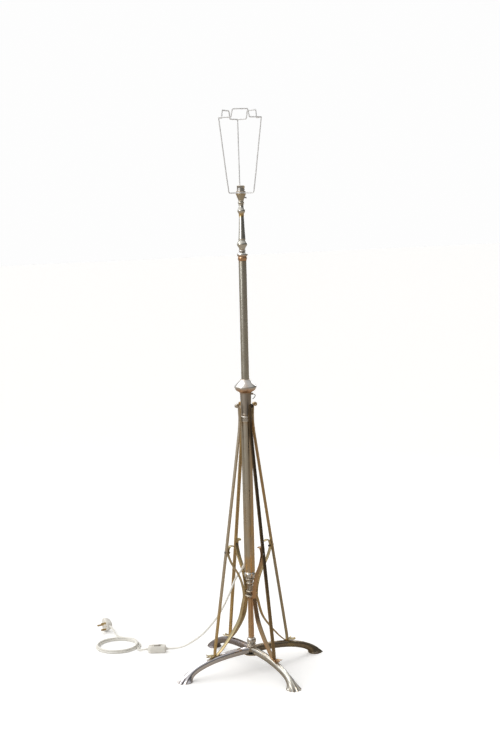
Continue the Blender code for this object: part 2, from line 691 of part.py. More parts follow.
def stay_path():
    """Stations of a stay, from its foot on the leg to the scroll beside the sleeve."""
    top_place = COLLAR_RADIUS + GAP + STAY_THICKNESS / 2
    foot = stay_foot_level()
    rise = COLUMN_TOP - foot
    lean = STAY_FOOT_PLACE - top_place
    bar = (STAY_THICKNESS, STAY_WIDTH)
    path = [
        (STAY_FOOT_PLACE, foot, *bar),
        (STAY_FOOT_PLACE - 0.05 * lean, foot + 0.06 * rise, *bar),
        (STAY_FOOT_PLACE - 0.45 * lean, foot + 0.44 * rise, *bar),
        (top_place + 0.10 * lean, foot + 0.88 * rise, *bar),
        (top_place + 0.02 * lean, foot + 0.965 * rise, *bar),
        (top_place, COLUMN_TOP + 5 * MM, *bar),
        (top_place + 0.4 * MM, COLLAR_TOP + 4 * MM, *bar),
        (top_place + 2 * MM, COLLAR_TOP + 18 * MM, 0.85 * STAY_THICKNESS, 0.95 * STAY_WIDTH),
    ]
    body = smooth(path, 2)
    centre = (top_place + 3.3 * MM + SCROLL_RADIUS, COLLAR_TOP + 33 * MM)
    curl = arc(centre, SCROLL_RADIUS, 180, -70, 8)
    return body + [[x, z, SCROLL_THICKNESS, 0.9 * STAY_WIDTH] for x, z in curl]


def stay_foot_level():
    """Where a stay's foot stands: on the brace's strip, on the leg."""
    return brace_foot_level() + BRACE_THICKNESS / 2 + 2 * GAP


def brace_foot_level():
    """Centre height of the brace's strip where it lies on the leg."""
    near = leg_top(STAY_FOOT_PLACE - STAY_THICKNESS)
    return near + GAP + BRACE_THICKNESS / 2


def stay_place(height):
    """Radius of a stay's inner face at a height along its straight run."""
    path = stay_path()
    for low, high in zip(path, path[1:]):
        if low[1] <= height <= high[1]:
            share = (height - low[1]) / (high[1] - low[1])
            slope = (high[0] - low[0]) / (high[1] - low[1])
            middle = low[0] + share * (high[0] - low[0])
            return middle - STAY_THICKNESS / 2 * math.sqrt(1 + slope**2)
    return path[-1][0]


def brace_path():
    """Stations of a brace: a rolled end, the bow in to the reel and out to the leg, and a leaf."""
    seat = REEL_SEAT_RADIUS + GAP + BRACE_THICKNESS / 2
    back = BRACE_BACK + BRACE_THICKNESS / 2
    screw_level = BRACE_TOP_HEIGHT - BRACE_SCREW_DROP
    top_place = stay_place(BRACE_TOP_HEIGHT) - back
    foot = brace_foot_level()
    rise = foot - leg_top(STAY_FOOT_PLACE + LEAF_LENGTH)
    strip = (BRACE_THICKNESS, BRACE_WIDTH)
    belly = (BRACE_THICKNESS, BRACE_BELLY_WIDTH)
    lower_drop = REEL_SEAT_LEVEL - foot
    upper_rise = screw_level - REEL_SEAT_LEVEL
    reach_top = stay_place(screw_level) - back - seat
    reach_foot = STAY_FOOT_PLACE - seat
    points = [
        (top_place - 19 * MM, BRACE_TOP_HEIGHT + 4.5 * MM, BRACE_THICKNESS, 0.8 * BRACE_WIDTH),
        (top_place - 10 * MM, BRACE_TOP_HEIGHT + 5.5 * MM, *strip),
        (top_place - 3 * MM, BRACE_TOP_HEIGHT + 3 * MM, *strip),
        (stay_place(BRACE_TOP_HEIGHT - 6 * MM) - back, BRACE_TOP_HEIGHT - 6 * MM, *strip),
        (seat + reach_top, screw_level, *strip),
        (stay_place(screw_level - 9 * MM) - 2 * back, screw_level - 9 * MM, *strip),
        (seat + 0.76 * reach_top, screw_level - 0.26 * upper_rise, *strip),
        (seat + 0.33 * reach_top, screw_level - 0.52 * upper_rise, *strip),
        (seat + 0.08 * reach_top, screw_level - 0.78 * upper_rise, *strip),
        (seat, REEL_SEAT_LEVEL, *strip),
        (seat + 0.035 * reach_foot, REEL_SEAT_LEVEL - 0.11 * lower_drop, *strip),
        (seat + 0.16 * reach_foot, REEL_SEAT_LEVEL - 0.40 * lower_drop, *belly),
        (seat + 0.375 * reach_foot, REEL_SEAT_LEVEL - 0.62 * lower_drop, *belly),
        (seat + 0.68 * reach_foot, REEL_SEAT_LEVEL - 0.85 * lower_drop, *strip),
        (seat + 0.88 * reach_foot, foot + 0.028 * lower_drop, *strip),
        (STAY_FOOT_PLACE - 6 * MM, foot, *strip),
        (STAY_FOOT_PLACE + 6 * MM, foot, BRACE_THICKNESS, 0.8 * BRACE_WIDTH),
        (STAY_FOOT_PLACE + 0.45 * LEAF_LENGTH, foot + 0.5 * MM, BRACE_THICKNESS, LEAF_WIDTH),
        (STAY_FOOT_PLACE + 0.8 * LEAF_LENGTH, foot - 0.1 * rise, BRACE_THICKNESS, 0.6 * BRACE_WIDTH),
        (STAY_FOOT_PLACE + LEAF_LENGTH, foot - 0.15 * rise, 0.8 * BRACE_THICKNESS, 0.25 * BRACE_WIDTH),
    ]
    return smooth(points, 2)


def build_stays(materials):
    """Four stays with scrolled tops, their bowed braces, and the screw that joins each pair."""
    stay_mesh = swept_mesh("stay", stay_path(), chamfered_bar, start=(0, 1))
    brace_mesh = swept_mesh("brace", brace_path(), rectangle_bar)
    level = BRACE_TOP_HEIGHT - BRACE_SCREW_DROP
    inner = stay_place(level)
    lean = math.atan2(stay_place(level - 10 * MM) - stay_place(level + 10 * MM), 20 * MM)
    head = BRACE_SCREW_HEAD
    start = BRACE_THICKNESS + BRACE_BACK + GAP + 5 * MM
    outside = STAY_THICKNESS + GAP
    nut_face = BRACE_THICKNESS + BRACE_BACK + 3 * GAP
    profile = [
        (0, outside + 2 * MM),
        (0.6 * head, outside + 2 * MM),
        (head, outside + 0.4 * MM),
        (head, outside),
        (BRACE_SCREW_RADIUS, outside),
        (BRACE_SCREW_RADIUS, -nut_face),
        (0.85 * head, -nut_face),
        (0.85 * head, -start),
        (0, -start),
    ]
    screw_mesh = turned_mesh("brace_screw", profile, 12)
    hole_mesh = cylinder_mesh("brace_hole", BRACE_SCREW_RADIUS + GAP, 40 * MM, 12)
    for side, angle in LEG_ANGLES.items():
        stay = add_object(f"stay_{side}", stay_mesh, materials["worn_plate"], angle)
        brace = add_object(f"brace_{side}", brace_mesh, materials["warm_brass"], angle)
        tip = Matrix.Rotation(math.radians(90) - lean, 4, "Y")
        place = turn_z(angle) @ Matrix.Translation((inner, 0, level)) @ tip
        screw = add_object(f"brace_screw_{side}", screw_mesh, materials["dark_steel"])
        screw.matrix_world = place
        hole_place = place @ Matrix.Translation((0, 0, -20 * MM))
        hole = tool_object(f"brace_hole_{side}", hole_mesh, hole_place)
        cut(stay, hole)
        cut(brace, hole)


def build_upper(materials):
    """The sliding tube with its bush, the turned pieces on it, and the gallery cup."""
    lip = COLUMN_BORE - 2 * BUSH_CLEARANCE
    tube = [
        (TUBE_RADIUS, TUBE_TOP),
        (TUBE_RADIUS, TUBE_BOTTOM + TUBE_LIP_HEIGHT),
        (lip, TUBE_BOTTOM + TUBE_LIP_HEIGHT),
        (lip, TUBE_BOTTOM),
    ]
    turned("inner_tube", tube, materials["silver_plate"], TUBE_BORE, 24)
    bush_bottom = TUBE_BOTTOM + TUBE_LIP_HEIGHT + GAP
    bush_radius = COLUMN_BORE - BUSH_CLEARANCE
    bush = [(bush_radius, bush_bottom + BUSH_HEIGHT), (bush_radius, bush_bottom)]
    turned("friction_bush", bush, materials["warm_brass"], SLIDE_BORE, 24)

    cap_top = CAP_BOTTOM + CAP_HEIGHT
    widest = CAP_BOTTOM + 0.54 * CAP_HEIGHT
    neck = 0.55 * CAP_RADIUS
    cap = [(neck, cap_top)]
    cap += bead(0.62 * CAP_RADIUS, cap_top - 3.5 * MM, 2.6 * MM, neck)
    cap += [(neck, cap_top - 8 * MM), (0.86 * CAP_RADIUS, widest + 4.5 * MM)]
    cap += [(CAP_RADIUS, widest + 1 * MM), (CAP_RADIUS, widest - 1 * MM)]
    cap += [(0.8 * CAP_RADIUS, widest - 7 * MM), (TUBE_RADIUS, CAP_BOTTOM)]
    turned("tube_cap", cap, materials["silver_plate"], 3.5 * MM)

    low, top = BALUSTER_BOTTOM, BALUSTER_BOTTOM + BALUSTER_HEIGHT
    slim = 0.7 * BALUSTER_RADIUS
    baluster = [(slim, top)]
    baluster += bead(0.92 * BALUSTER_RADIUS, top - 6 * MM, 3.6 * MM, slim)
    baluster += [(slim, top - 12 * MM), (slim, top - 18 * MM)]
    baluster += bead(1.12 * BALUSTER_RADIUS, top - 30 * MM, 7 * MM, slim, 6)
    baluster += [
        (slim, top - 44 * MM),
        (0.8 * BALUSTER_RADIUS, low + 0.6 * BALUSTER_HEIGHT),
        (BALUSTER_RADIUS, low + 0.3 * BALUSTER_HEIGHT),
        (0.93 * BALUSTER_RADIUS, low + 27 * MM),
    ]
    baluster += bead(BALUSTER_KNOP, low + 16 * MM, 7 * MM, 0.85 * BALUSTER_RADIUS, 6)
    baluster += [(0.85 * BALUSTER_RADIUS, low)]
    turned("baluster", baluster, materials["silver_plate"], 3.5 * MM)

    cup_foot = 0.52 * CUP_RADIUS
    floor = CUP_BOTTOM + 2 * CUP_WALL
    inside = HOLDER_RADIUS + 2 * GAP
    cup = [
        (3.5 * MM, floor),
        (inside, floor),
        (inside, CUP_TOP - 7 * MM),
        (CUP_RADIUS - CUP_WALL, CUP_TOP),
        (CUP_RADIUS, CUP_TOP),
        (CUP_RADIUS, CUP_TOP - 2.5 * MM),
        (inside + CUP_WALL, CUP_TOP - 9 * MM),
        (inside + 0.8 * CUP_WALL, floor + 1 * MM),
        (cup_foot, CUP_BOTTOM),
        (3.5 * MM, CUP_BOTTOM),
    ]
    made = add_object("gallery_cup", turned_mesh("gallery_cup", cup), materials["worn_plate"])
    level = floor + 4.5 * MM
    outer = inside + CUP_WALL
    length = 7 * MM
    screw_mesh = cylinder_mesh("cup_screw", CUP_SCREW_RADIUS, length, 10)
    hole_mesh = cylinder_mesh("cup_screw_hole", CUP_SCREW_RADIUS + GAP, 2 * length, 10)
    tip = Matrix.Rotation(math.radians(90), 4, "Y")
    start = HOLDER_RADIUS + GAP
    place = turn_z(CATCH_ANGLE) @ Matrix.Translation((start, 0, level)) @ tip
    screw = add_object("cup_screw", screw_mesh, materials["dark_steel"])
    screw.matrix_world = place
    hole_place = turn_z(CATCH_ANGLE) @ Matrix.Translation((outer - 1.2 * length, 0, level)) @ tip
    cut(made, tool_object("cup_screw_hole", hole_mesh, hole_place))


def build_lampholder(materials):
    """The bayonet lampholder with its two sprung contacts and the shade ring."""
    floor = HOLDER_TOP - HOLDER_SOCKET_DEPTH
    socket = HOLDER_RADIUS - HOLDER_WALL
    body = [
        (0, floor),
        (socket, floor),
        (socket, HOLDER_TOP),
        (HOLDER_RADIUS, HOLDER_TOP),
        (HOLDER_RADIUS, HOLDER_BOTTOM),
        (0, HOLDER_BOTTOM),
    ]
    holder = add_object("lampholder_body", turned_mesh("lampholder", body, 24), materials["silver_plate"])
    slot_size = (6 * MM, BAYONET_SLOT_WIDTH, 2 * BAYONET_SLOT_DEPTH)
    slot_mesh = box_mesh("bayonet_slot", slot_size)
    hook_size = (6 * MM, BAYONET_SLOT_WIDTH * 2.2, BAYONET_SLOT_WIDTH)
    hook_mesh = box_mesh("bayonet_hook", hook_size)
    hook_level = HOLDER_TOP - BAYONET_SLOT_DEPTH + BAYONET_SLOT_WIDTH / 2
    for number, angle in enumerate((CATCH_ANGLE - 40, CATCH_ANGLE + 140), 1):
        way = turn_z(angle) @ Matrix.Translation((HOLDER_RADIUS, 0, HOLDER_TOP))
        cut(holder, tool_object(f"bayonet_slot_{number}", slot_mesh, way))
        turn = turn_z(angle + BAYONET_SLOT_TURN / 2)
        way = turn @ Matrix.Translation((HOLDER_RADIUS, 0, hook_level))
        cut(holder, tool_object(f"bayonet_hook_{number}", hook_mesh, way))
    shank = 8 * MM
    plunger = [
        (0, floor + PLUNGER_PROUD),
        (0.7 * PLUNGER_RADIUS, floor + PLUNGER_PROUD),
        (PLUNGER_RADIUS, floor + PLUNGER_PROUD - 0.8 * MM),
        (PLUNGER_RADIUS, floor - shank + 4 * MM),
        (0, floor - shank + 4 * MM),
    ]
    mesh = turned_mesh("plunger", plunger, 12)
    hole_mesh = cylinder_mesh("plunger_hole", PLUNGER_RADIUS + GAP, shank + 4 * MM, 12)
    for number, angle in enumerate((CATCH_ANGLE, CATCH_ANGLE + 180), 1):
        place = polar(PLUNGER_PLACE, angle, 0)
        add_object(f"contact_plunger_{number}", mesh, materials["warm_brass"], 0, place)
        hole_place = place + Vector((0, 0, floor - shank))
        cut(holder, tool_object(f"plunger_hole_{number}", hole_mesh, Matrix.Translation(hole_place)))
    ring_top = SHADE_RING_BOTTOM + SHADE_RING_HEIGHT
    ring = [(SHADE_RING_RADIUS, ring_top), (SHADE_RING_RADIUS, SHADE_RING_BOTTOM)]
    turned("shade_ring", ring, materials["silver_plate"], HOLDER_RADIUS + GAP)


def carrier_ring_points():
    """The castellated top wire: three bowed sides, each with a raised middle."""
    corners = [polar(CARRIER_TOP, angle, 0) for angle in CARRIER_ANGLES]
    low = CARRIER_LOW
    points = []
    for number, corner in enumerate(corners):
        following = corners[(number + 1) % len(corners)]
        outward = (corner + following).normalized()
        shares = [0.02, 0.08, 0.15, 0.22]
        shares += [CARRIER_STEP_START - 0.015, CARRIER_STEP_START]
        levels = [low, low, low, low, low, low + 0.16 * CARRIER_STEP]
        rise_end = CARRIER_STEP_START + CARRIER_STEP_LEAN
        shares += [rise_end, rise_end + 0.018, 0.42, 0.5]
        levels += [low + 0.84 * CARRIER_STEP] + [low + CARRIER_STEP] * 3
        shares += [1 - share for share in reversed(shares[:-1])]
        levels += list(reversed(levels[:-1]))
        for share, level in zip(shares, levels):
            bow = CARRIER_SIDE_BOW * 4 * share * (1 - share)
            point = corner.lerp(following, share) + outward * bow
            points.append((point.x, point.y, level))
    return points


def build_carrier(materials):
    """The shade carrier: a seat ring, three bent wires and the castellated top wire."""
    steel = materials["steel_wire"]
    section = arc((SEAT_RING_RADIUS, SEAT_RING_LEVEL), CARRIER_WIRE, 90, -225, 7)
    mesh = turned_mesh("seat_ring", section, 24)
    add_object("carrier_seat_ring", mesh, steel)
    start = SEAT_RING_RADIUS + CARRIER_WIRE + GAP + 0.1 * MM
    end_level = CARRIER_LOW - CARRIER_WIRE - GAP - 0.6 * MM
    lean = (CARRIER_TOP - CARRIER_FOOT) / CARRIER_HEIGHT
    bend = 5 * MM
    path = [
        (start, SEAT_RING_LEVEL),
        (0.5 * (start + CARRIER_FOOT), SEAT_RING_LEVEL),
        *arc((CARRIER_FOOT - bend, SEAT_RING_LEVEL + bend), bend, -90, -8, 4),
        (CARRIER_FOOT + 0.5 * lean * CARRIER_HEIGHT, SEAT_RING_LEVEL + 0.5 * CARRIER_HEIGHT),
        (CARRIER_TOP - lean * (CARRIER_LOW - end_level), end_level),
    ]
    for number, angle in enumerate(CARRIER_ANGLES, 1):
        points = [polar(x, angle, z) for x, z in path]
        wire(f"carrier_wire_{number}", points, CARRIER_WIRE, steel)
    wire("carrier_top_ring", carrier_ring_points(), CARRIER_WIRE, steel, closed=True)


def switch_matrix():
    """The inline switch's frame: its origin under it on the floor, +X towards the coil."""
    place = Vector((*SWITCH_CENTRE, FLOOR_CLEARANCE))
    return Matrix.Translation(place) @ turn_z(SWITCH_ANGLE)


def build_switch(materials):
    """The inline switch and its rocker."""
    frame = switch_matrix()
    body_mesh = box_mesh("switch", (SWITCH_LENGTH, SWITCH_WIDTH, SWITCH_HEIGHT), 3 * MM)
    body = add_object("switch_body", body_mesh, materials["cream_plastic"])
    body.matrix_world = frame @ Matrix.Translation((0, 0, SWITCH_HEIGHT / 2))
    pocket_depth = 9 * MM
    pocket_size = (ROCKER_LENGTH + 4 * GAP, ROCKER_WIDTH + 4 * GAP, 2 * pocket_depth)
    pocket = tool_object(
        "rocker_pocket",
        box_mesh("rocker_pocket", pocket_size),
        frame @ Matrix.Translation((0, 0, SWITCH_HEIGHT)),
    )
    cut(body, pocket)
    half = ROCKER_LENGTH / 2
    rise = half * math.tan(math.radians(ROCKER_TILT))
    depth = 5.5 * MM
    bm = bmesh.new()
    outline = [
        (-half, rise),
        (0, 0.6 * MM),
        (half, rise),
        (half, -depth + rise),
        (0, -depth),
        (-half, -depth + rise),
    ]
    sides = []
    for side in (-ROCKER_WIDTH / 2, ROCKER_WIDTH / 2):
        sides.append([bm.verts.new((x, side, z)) for x, z in outline])
    for ring in sides:
        bm.faces.new(ring)
    count = len(outline)
    for k in range(count):
        after = (k + 1) % count
        bm.faces.new((sides[0][k], sides[0][after], sides[1][after], sides[1][k]))
    rocker_mesh = finish_mesh("rocker", bm, smooth=False)
    rocker = add_object("switch_rocker", rocker_mesh, materials["cream_plastic"])
    tilt = Matrix.Rotation(math.radians(ROCKER_TILT), 4, "Y")
    rocker.matrix_world = frame @ Matrix.Translation((0, 0, SWITCH_HEIGHT)) @ tilt


def build_plug(materials):
    """The mains plug standing on its side, its pins towards -X and its flex towards -Y."""
    centre = Vector((*PLUG_CENTRE, FLOOR_CLEARANCE + PLUG_WIDTH / 2))
    size = (PLUG_DEPTH, PLUG_LENGTH, PLUG_WIDTH)
    body = add_object("plug_body", box_mesh("plug", size, 4 * MM), materials["cream_plastic"], 0, centre)
    face = -PLUG_DEPTH / 2
    pins = {
        "earth": ((4, 8, 22), (0, 11)),
        "live": ((6.4, 4, 18), (11, -11)),
        "neutral": ((6.4, 4, 18), (-11, -11)),
    }
    seat = 3 * MM
    for name, ((across, along, length), (height, place)) in pins.items():
        pin_size = (length * MM + seat, along * MM, across * MM)
        middle = (face - length * MM / 2 + seat / 2, place * MM, height * MM)
        pin_place = centre + Vector(middle)
        pin = box_mesh(f"plug_pin_{name}", pin_size, 0.5 * MM)
        add_object(f"plug_pin_{name}", pin, materials["warm_brass"], 0, pin_place)
        hole_size = (pin_size[0] + 2 * GAP, pin_size[1] + 2 * GAP, pin_size[2] + 2 * GAP)
        hole_mesh = box_mesh(f"pin_seat_{name}", hole_size)
        cut(body, tool_object(f"pin_seat_{name}", hole_mesh, Matrix.Translation(pin_place)))


def build_flex(materials):
    """The flex inside the lamp and along the floor, with its coil."""
    flex = materials["cream_flex"]
    way_out = exit_matrix()
    out = way_out.to_3x3() @ Vector((0, 0, 1))
    tip = way_out @ Vector((0, 0, GLAND_LENGTH))
    start = tip + out * GAP
    hang = [
        start,
        start + out * 10 * MM,
        (-0.0262, 0.0500, 0.2850),
        (-0.0345, 0.0745, 0.2340),
        (-0.0430, 0.1010, 0.1860),
        (-0.0525, 0.1300, 0.1420),
        (-0.0650, 0.1620, 0.1020),
        (-0.0800, 0.1940, 0.0670),
        (-0.0965, 0.2210, 0.0430),
        (-0.1125, 0.2430, 0.0255),
        (-0.1280, 0.2605, 0.0160),
        (-0.1415, 0.2740, 0.0122),
    ]
    frame = switch_matrix()
    axis_level = 0.48 * SWITCH_HEIGHT
    near = frame @ Vector((-SWITCH_LENGTH / 2 - END_GAP, 0, axis_level))
    far = frame @ Vector((SWITCH_LENGTH / 2 + END_GAP, 0, axis_level))
    along = frame.to_3x3() @ Vector((1, 0, 0))
    hang += [near - along * 8 * MM, near]
    route = spaced(smooth([tuple(p) for p in hang], 6), 5 * FLEX_RADIUS)
    wire("flex_to_switch", route, FLEX_RADIUS, flex)

    lying = FLEX_RADIUS + FLOOR_CLEARANCE
    outer = COIL_RADIUS + COIL_WIDTH / 2 + FLEX_RADIUS + GAP
    meet = Vector((*COIL_CENTRE, 0)) + polar(outer, -10, lying)
    link = [
        far,
        far + along * 8 * MM,
        (-0.2312, 0.3311, 0.0090),
        (-0.2361, 0.3421, 0.0065),
        (-0.2361, 0.3541, 0.0046),
        (-0.2314, 0.3645, 0.0036),
        (-0.2186, 0.3785, lying),
        (-0.2076, 0.3955, lying),
        meet,
    ]
    route = spaced(smooth([tuple(p) for p in link], 6), 5 * FLEX_RADIUS)
    wire("flex_to_coil", route, FLEX_RADIUS, flex)

    ring_low, ring_high = FLOOR_CLEARANCE, FLOOR_CLEARANCE + COIL_HEIGHT
    inner_side, outer_side = COIL_RADIUS - COIL_WIDTH / 2, COIL_RADIUS + COIL_WIDTH / 2
    soft = 2 * MM
    section = [
        (inner_side + soft, ring_high),
        (outer_side - soft, ring_high),
        (outer_side, ring_high - soft),
        (outer_side, ring_low + soft),
        (outer_side - soft, ring_low),
        (inner_side + soft, ring_low),
        (inner_side, ring_low + soft),
        (inner_side, ring_high - soft),
    ]
    coil = add_object("flex_coil", turned_mesh("flex_coil", section, 32), flex)
    coil.location = (*COIL_CENTRE, 0)

    leave = Vector((*COIL_CENTRE, 0)) + polar(outer, 35, lying)
    entry_side = PLUG_CENTRE[1] - PLUG_LENGTH / 2 - END_GAP
    entry = Vector((PLUG_CENTRE[0], entry_side, FLOOR_CLEARANCE + PLUG_WIDTH / 2))
    tail = [
        leave,
        (-0.2220, 0.4960, lying),
        (-0.2330, 0.5150, 0.0050),
        (-0.2350, 0.5330, 0.0090),
        (-0.2345, 0.5520, 0.0180),
        entry - Vector((0, 9 * MM, 0)),
        entry,
    ]
    route = spaced(smooth([tuple(p) for p in tail], 6), 5 * FLEX_RADIUS)
    wire("flex_to_plug", route, FLEX_RADIUS, flex)

    tube_run = [
        (0, 0, TUBE_BOTTOM + 30 * MM),
        (0, 0, CAP_BOTTOM - 3 * MM),
    ]
    wire("flex_in_tube", tube_run, FLEX_RADIUS, flex)


def main():
    clear_scene()
    materials = make_materials()
    build_legs(materials)
    build_lower_column(materials)
    build_column(materials)
    build_stays(materials)
    build_upper(materials)
    build_lampholder(materials)
    build_carrier(materials)
    build_switch(materials)
    build_plug(materials)
    build_flex(materials)
    bpy.context.view_layer.update()


main()
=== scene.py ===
import json
import math

import bmesh
import bpy
from mathutils import Matrix, Vector


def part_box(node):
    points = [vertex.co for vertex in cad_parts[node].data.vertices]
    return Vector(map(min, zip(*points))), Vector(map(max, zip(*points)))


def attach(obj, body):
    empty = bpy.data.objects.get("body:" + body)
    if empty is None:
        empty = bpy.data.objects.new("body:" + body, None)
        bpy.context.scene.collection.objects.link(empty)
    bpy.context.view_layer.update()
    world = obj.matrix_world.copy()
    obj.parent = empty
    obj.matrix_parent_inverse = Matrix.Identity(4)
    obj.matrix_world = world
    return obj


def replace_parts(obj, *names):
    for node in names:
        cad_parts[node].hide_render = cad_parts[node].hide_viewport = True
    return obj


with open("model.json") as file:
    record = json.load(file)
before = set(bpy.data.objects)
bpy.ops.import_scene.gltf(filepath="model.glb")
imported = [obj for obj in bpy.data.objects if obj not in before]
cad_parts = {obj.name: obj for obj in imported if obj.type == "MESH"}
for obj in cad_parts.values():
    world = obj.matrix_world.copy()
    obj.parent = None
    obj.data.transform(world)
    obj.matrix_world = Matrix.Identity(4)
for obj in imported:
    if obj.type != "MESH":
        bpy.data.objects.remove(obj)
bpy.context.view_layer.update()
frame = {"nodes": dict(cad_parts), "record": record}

MM = 0.001
LEG_ANGLES = {"front_left": 180, "front_right": 270, "back_right": 0, "back_left": 90}
BODY_OF = {n: body for body, nodes in frame["record"]["behaviour"]["bodies"].items() for n in nodes}
ROUND = 64

# Camera
CAMERA_PLACE = (-2.1228, -3.5456, 1.4948)
CAMERA_TURN = -31.12
CAMERA_DIP = 7.49
CAMERA_ROLL = -1.33
CAMERA_LENS = 62.9

# Flex, with the same route as its solids
FLEX_RADIUS = 3.2 * MM
FLEX_LYING = FLEX_RADIUS + 0.1 * MM
EXIT_ANGLE = 111
EXIT_TILT = 55
EXIT_RISE = 24 * MM
GLAND_LENGTH = 22 * MM
SWITCH_CENTRE = (-0.1893, 0.3040)
SWITCH_ANGLE = 150
SWITCH_SIZE = (60 * MM, 27 * MM, 23 * MM)
SWITCH_AXIS = 0.48 * SWITCH_SIZE[2]
LEVER_TILT = 7
COIL_CENTRE = (-0.277, 0.431)
PLUG_CENTRE = (-0.234, 0.601)
PLUG_SIZE = (24 * MM, 44 * MM, 48 * MM)
CATCH_ANGLE = -33

# Ways through the turned pieces
ROD_WAY = 4.6 * MM
TUBE_WAY = 12.7 * MM
FLEX_WAY = 3.5 * MM
COLUMN_WALL = 1.9 * MM


# ---- shapes


def low_of(node):
    """Height of a node's lowest point."""
    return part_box(node)[0].z


def top_of(node):
    """Height of a node's highest point."""
    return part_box(node)[1].z


def spin(angle, axis="Z"):
    """A rotation by an angle in degrees."""
    return Matrix.Rotation(math.radians(angle), 4, axis)


def shift(x, y=0.0, z=0.0):
    """A move along the axes."""
    return Matrix.Translation((x, y, z))


def polar(radius, angle, height=0.0):
    """A point from its radius, its angle in degrees and its height."""
    turn = math.radians(angle)
    return Vector((radius * math.cos(turn), radius * math.sin(turn), height))


def smooth(points, steps):
    """A Catmull-Rom curve through points of any dimension."""
    first = [2 * a - b for a, b in zip(points[0], points[1])]
    last = [2 * a - b for a, b in zip(points[-1], points[-2])]
    padded = [first, *points, last]
    found = []
    for before, start, end, after in zip(padded, padded[1:], padded[2:], padded[3:]):
        for k in range(steps):
            t = k / steps
            weights = (
                -0.5 * t + t**2 - 0.5 * t**3,
                1 - 2.5 * t**2 + 1.5 * t**3,
                0.5 * t + 2 * t**2 - 1.5 * t**3,
                -0.5 * t**2 + 0.5 * t**3,
            )
            values = zip(before, start, end, after)
            found.append([sum(w * v for w, v in zip(weights, four)) for four in values])
    return found + [list(points[-1])]


def bead(radius, level, half_height, neck, steps=10):
    """Profile points of a rounded bead, top to bottom, swelling from a neck radius."""
    turns = [math.pi * (0.5 - k / steps) for k in range(steps + 1)]
    swell = radius - neck
    return [(neck + swell * math.cos(t), level + half_height * math.sin(t)) for t in turns]


def in_mm(points, top=0.0):
    """Profile points given in millimetres below a level."""
    return [(radius * MM, top + height * MM) for radius, height in points]


def add(name, mesh):
    """Puts a mesh or curve into the scene as a piece."""
    piece = bpy.data.objects.new(name, mesh)
    bpy.context.scene.collection.objects.link(piece)
    return piece


def finish_mesh(name, bm, sharp=40):
    """Turns a bmesh into a mesh with its faces outward and its round sides smooth."""
    bmesh.ops.recalc_face_normals(bm, faces=bm.faces)
    mesh = bpy.data.meshes.new(name)
    bm.to_mesh(mesh)
    bm.free()
    mesh.shade_smooth()
    mesh.set_sharp_from_angle(angle=math.radians(sharp))
    return mesh


def lathe(name, outline, sides=ROUND, wave=None):
    """A turned piece from (radius, height) once round its section, outer side first.

    wave(radius, height, turn) may change a point's radius, for ribs and knurls.
    """
    bm = bmesh.new()
    rings = []
    for radius, height in outline:
        if radius < 1e-7:
            rings.append([bm.verts.new((0, 0, height))])
            continue
        ring = []
        for k in range(sides):
            turn = 2 * math.pi * k / sides
            reach = wave(radius, height, turn) if wave else radius
            ring.append(bm.verts.new((reach * math.cos(turn), reach * math.sin(turn), height)))
        rings.append(ring)
    pairs = list(zip(rings, rings[1:]))
    if len(rings[0]) > 1 or len(rings[-1]) > 1:
        pairs.append((rings[-1], rings[0]))
    for upper, lower in pairs:
        for k in range(sides):
            corners = [upper[k % len(upper)], upper[(k + 1) % len(upper)]]
            corners += [lower[(k + 1) % len(lower)], lower[k % len(lower)]]
            corners = list(dict.fromkeys(corners))
            if len(corners) > 2:
                bm.faces.new(corners)
    return add(name, finish_mesh(name, bm))


def spindle(name, profile, bore, sides=ROUND, wave=None):
    """A turned piece from its outer profile, top to bottom, with a straight bore."""
    return lathe(name, [(bore, profile[0][1]), *profile, (bore, profile[-1][1])], sides, wave)


def oval(thickness, width, sides=32, power=0.8):
    """Corners (normal, side) of a squared oval section."""
    found = []
    for k in range(sides):
        turn = 2 * math.pi * (k + 0.5) / sides
        c, s = math.cos(turn), math.sin(turn)
        normal = math.copysign(abs(c) ** power, c) * thickness / 2
        side = math.copysign(abs(s) ** power, s) * width / 2
        found.append((normal, side))
    return found


def bar(thickness, width):
    """Corners (normal, side) of a bar with a crowned outer face and rounded edges."""
    steps = 6
    half = width / 2
    edge = min(0.32 * thickness, 0.3 * half)
    crown = 0.1 * thickness
    face = []
    for k in range(steps + 1):
        share = 2 * k / steps - 1
        face.append((thickness / 2 - crown * share**2, share * (half - edge)))
    corner = [(thickness / 2 - crown - 0.3 * edge, half - 0.3 * edge), (0.3 * thickness, half)]
    near = face + corner + [(-0.3 * thickness, half), (-thickness / 2 + 0.3 * edge, half - 0.3 * edge)]
    back = [(-thickness / 2, half - edge), (-thickness / 2, edge - half)]
    far = [(n, -s) for n, s in reversed(near[steps + 1 :])]
    return near + back + far


def loft(bm, rings):
    """Joins rings of corners with faces, and closes both ends."""
    for lower, upper in zip(rings, rings[1:]):
        for k in range(len(lower)):
            after = (k + 1) % len(lower)
            bm.faces.new((lower[k], lower[after], upper[after], upper[k]))
    bm.faces.new(rings[0])
    bm.faces.new(rings[-1])


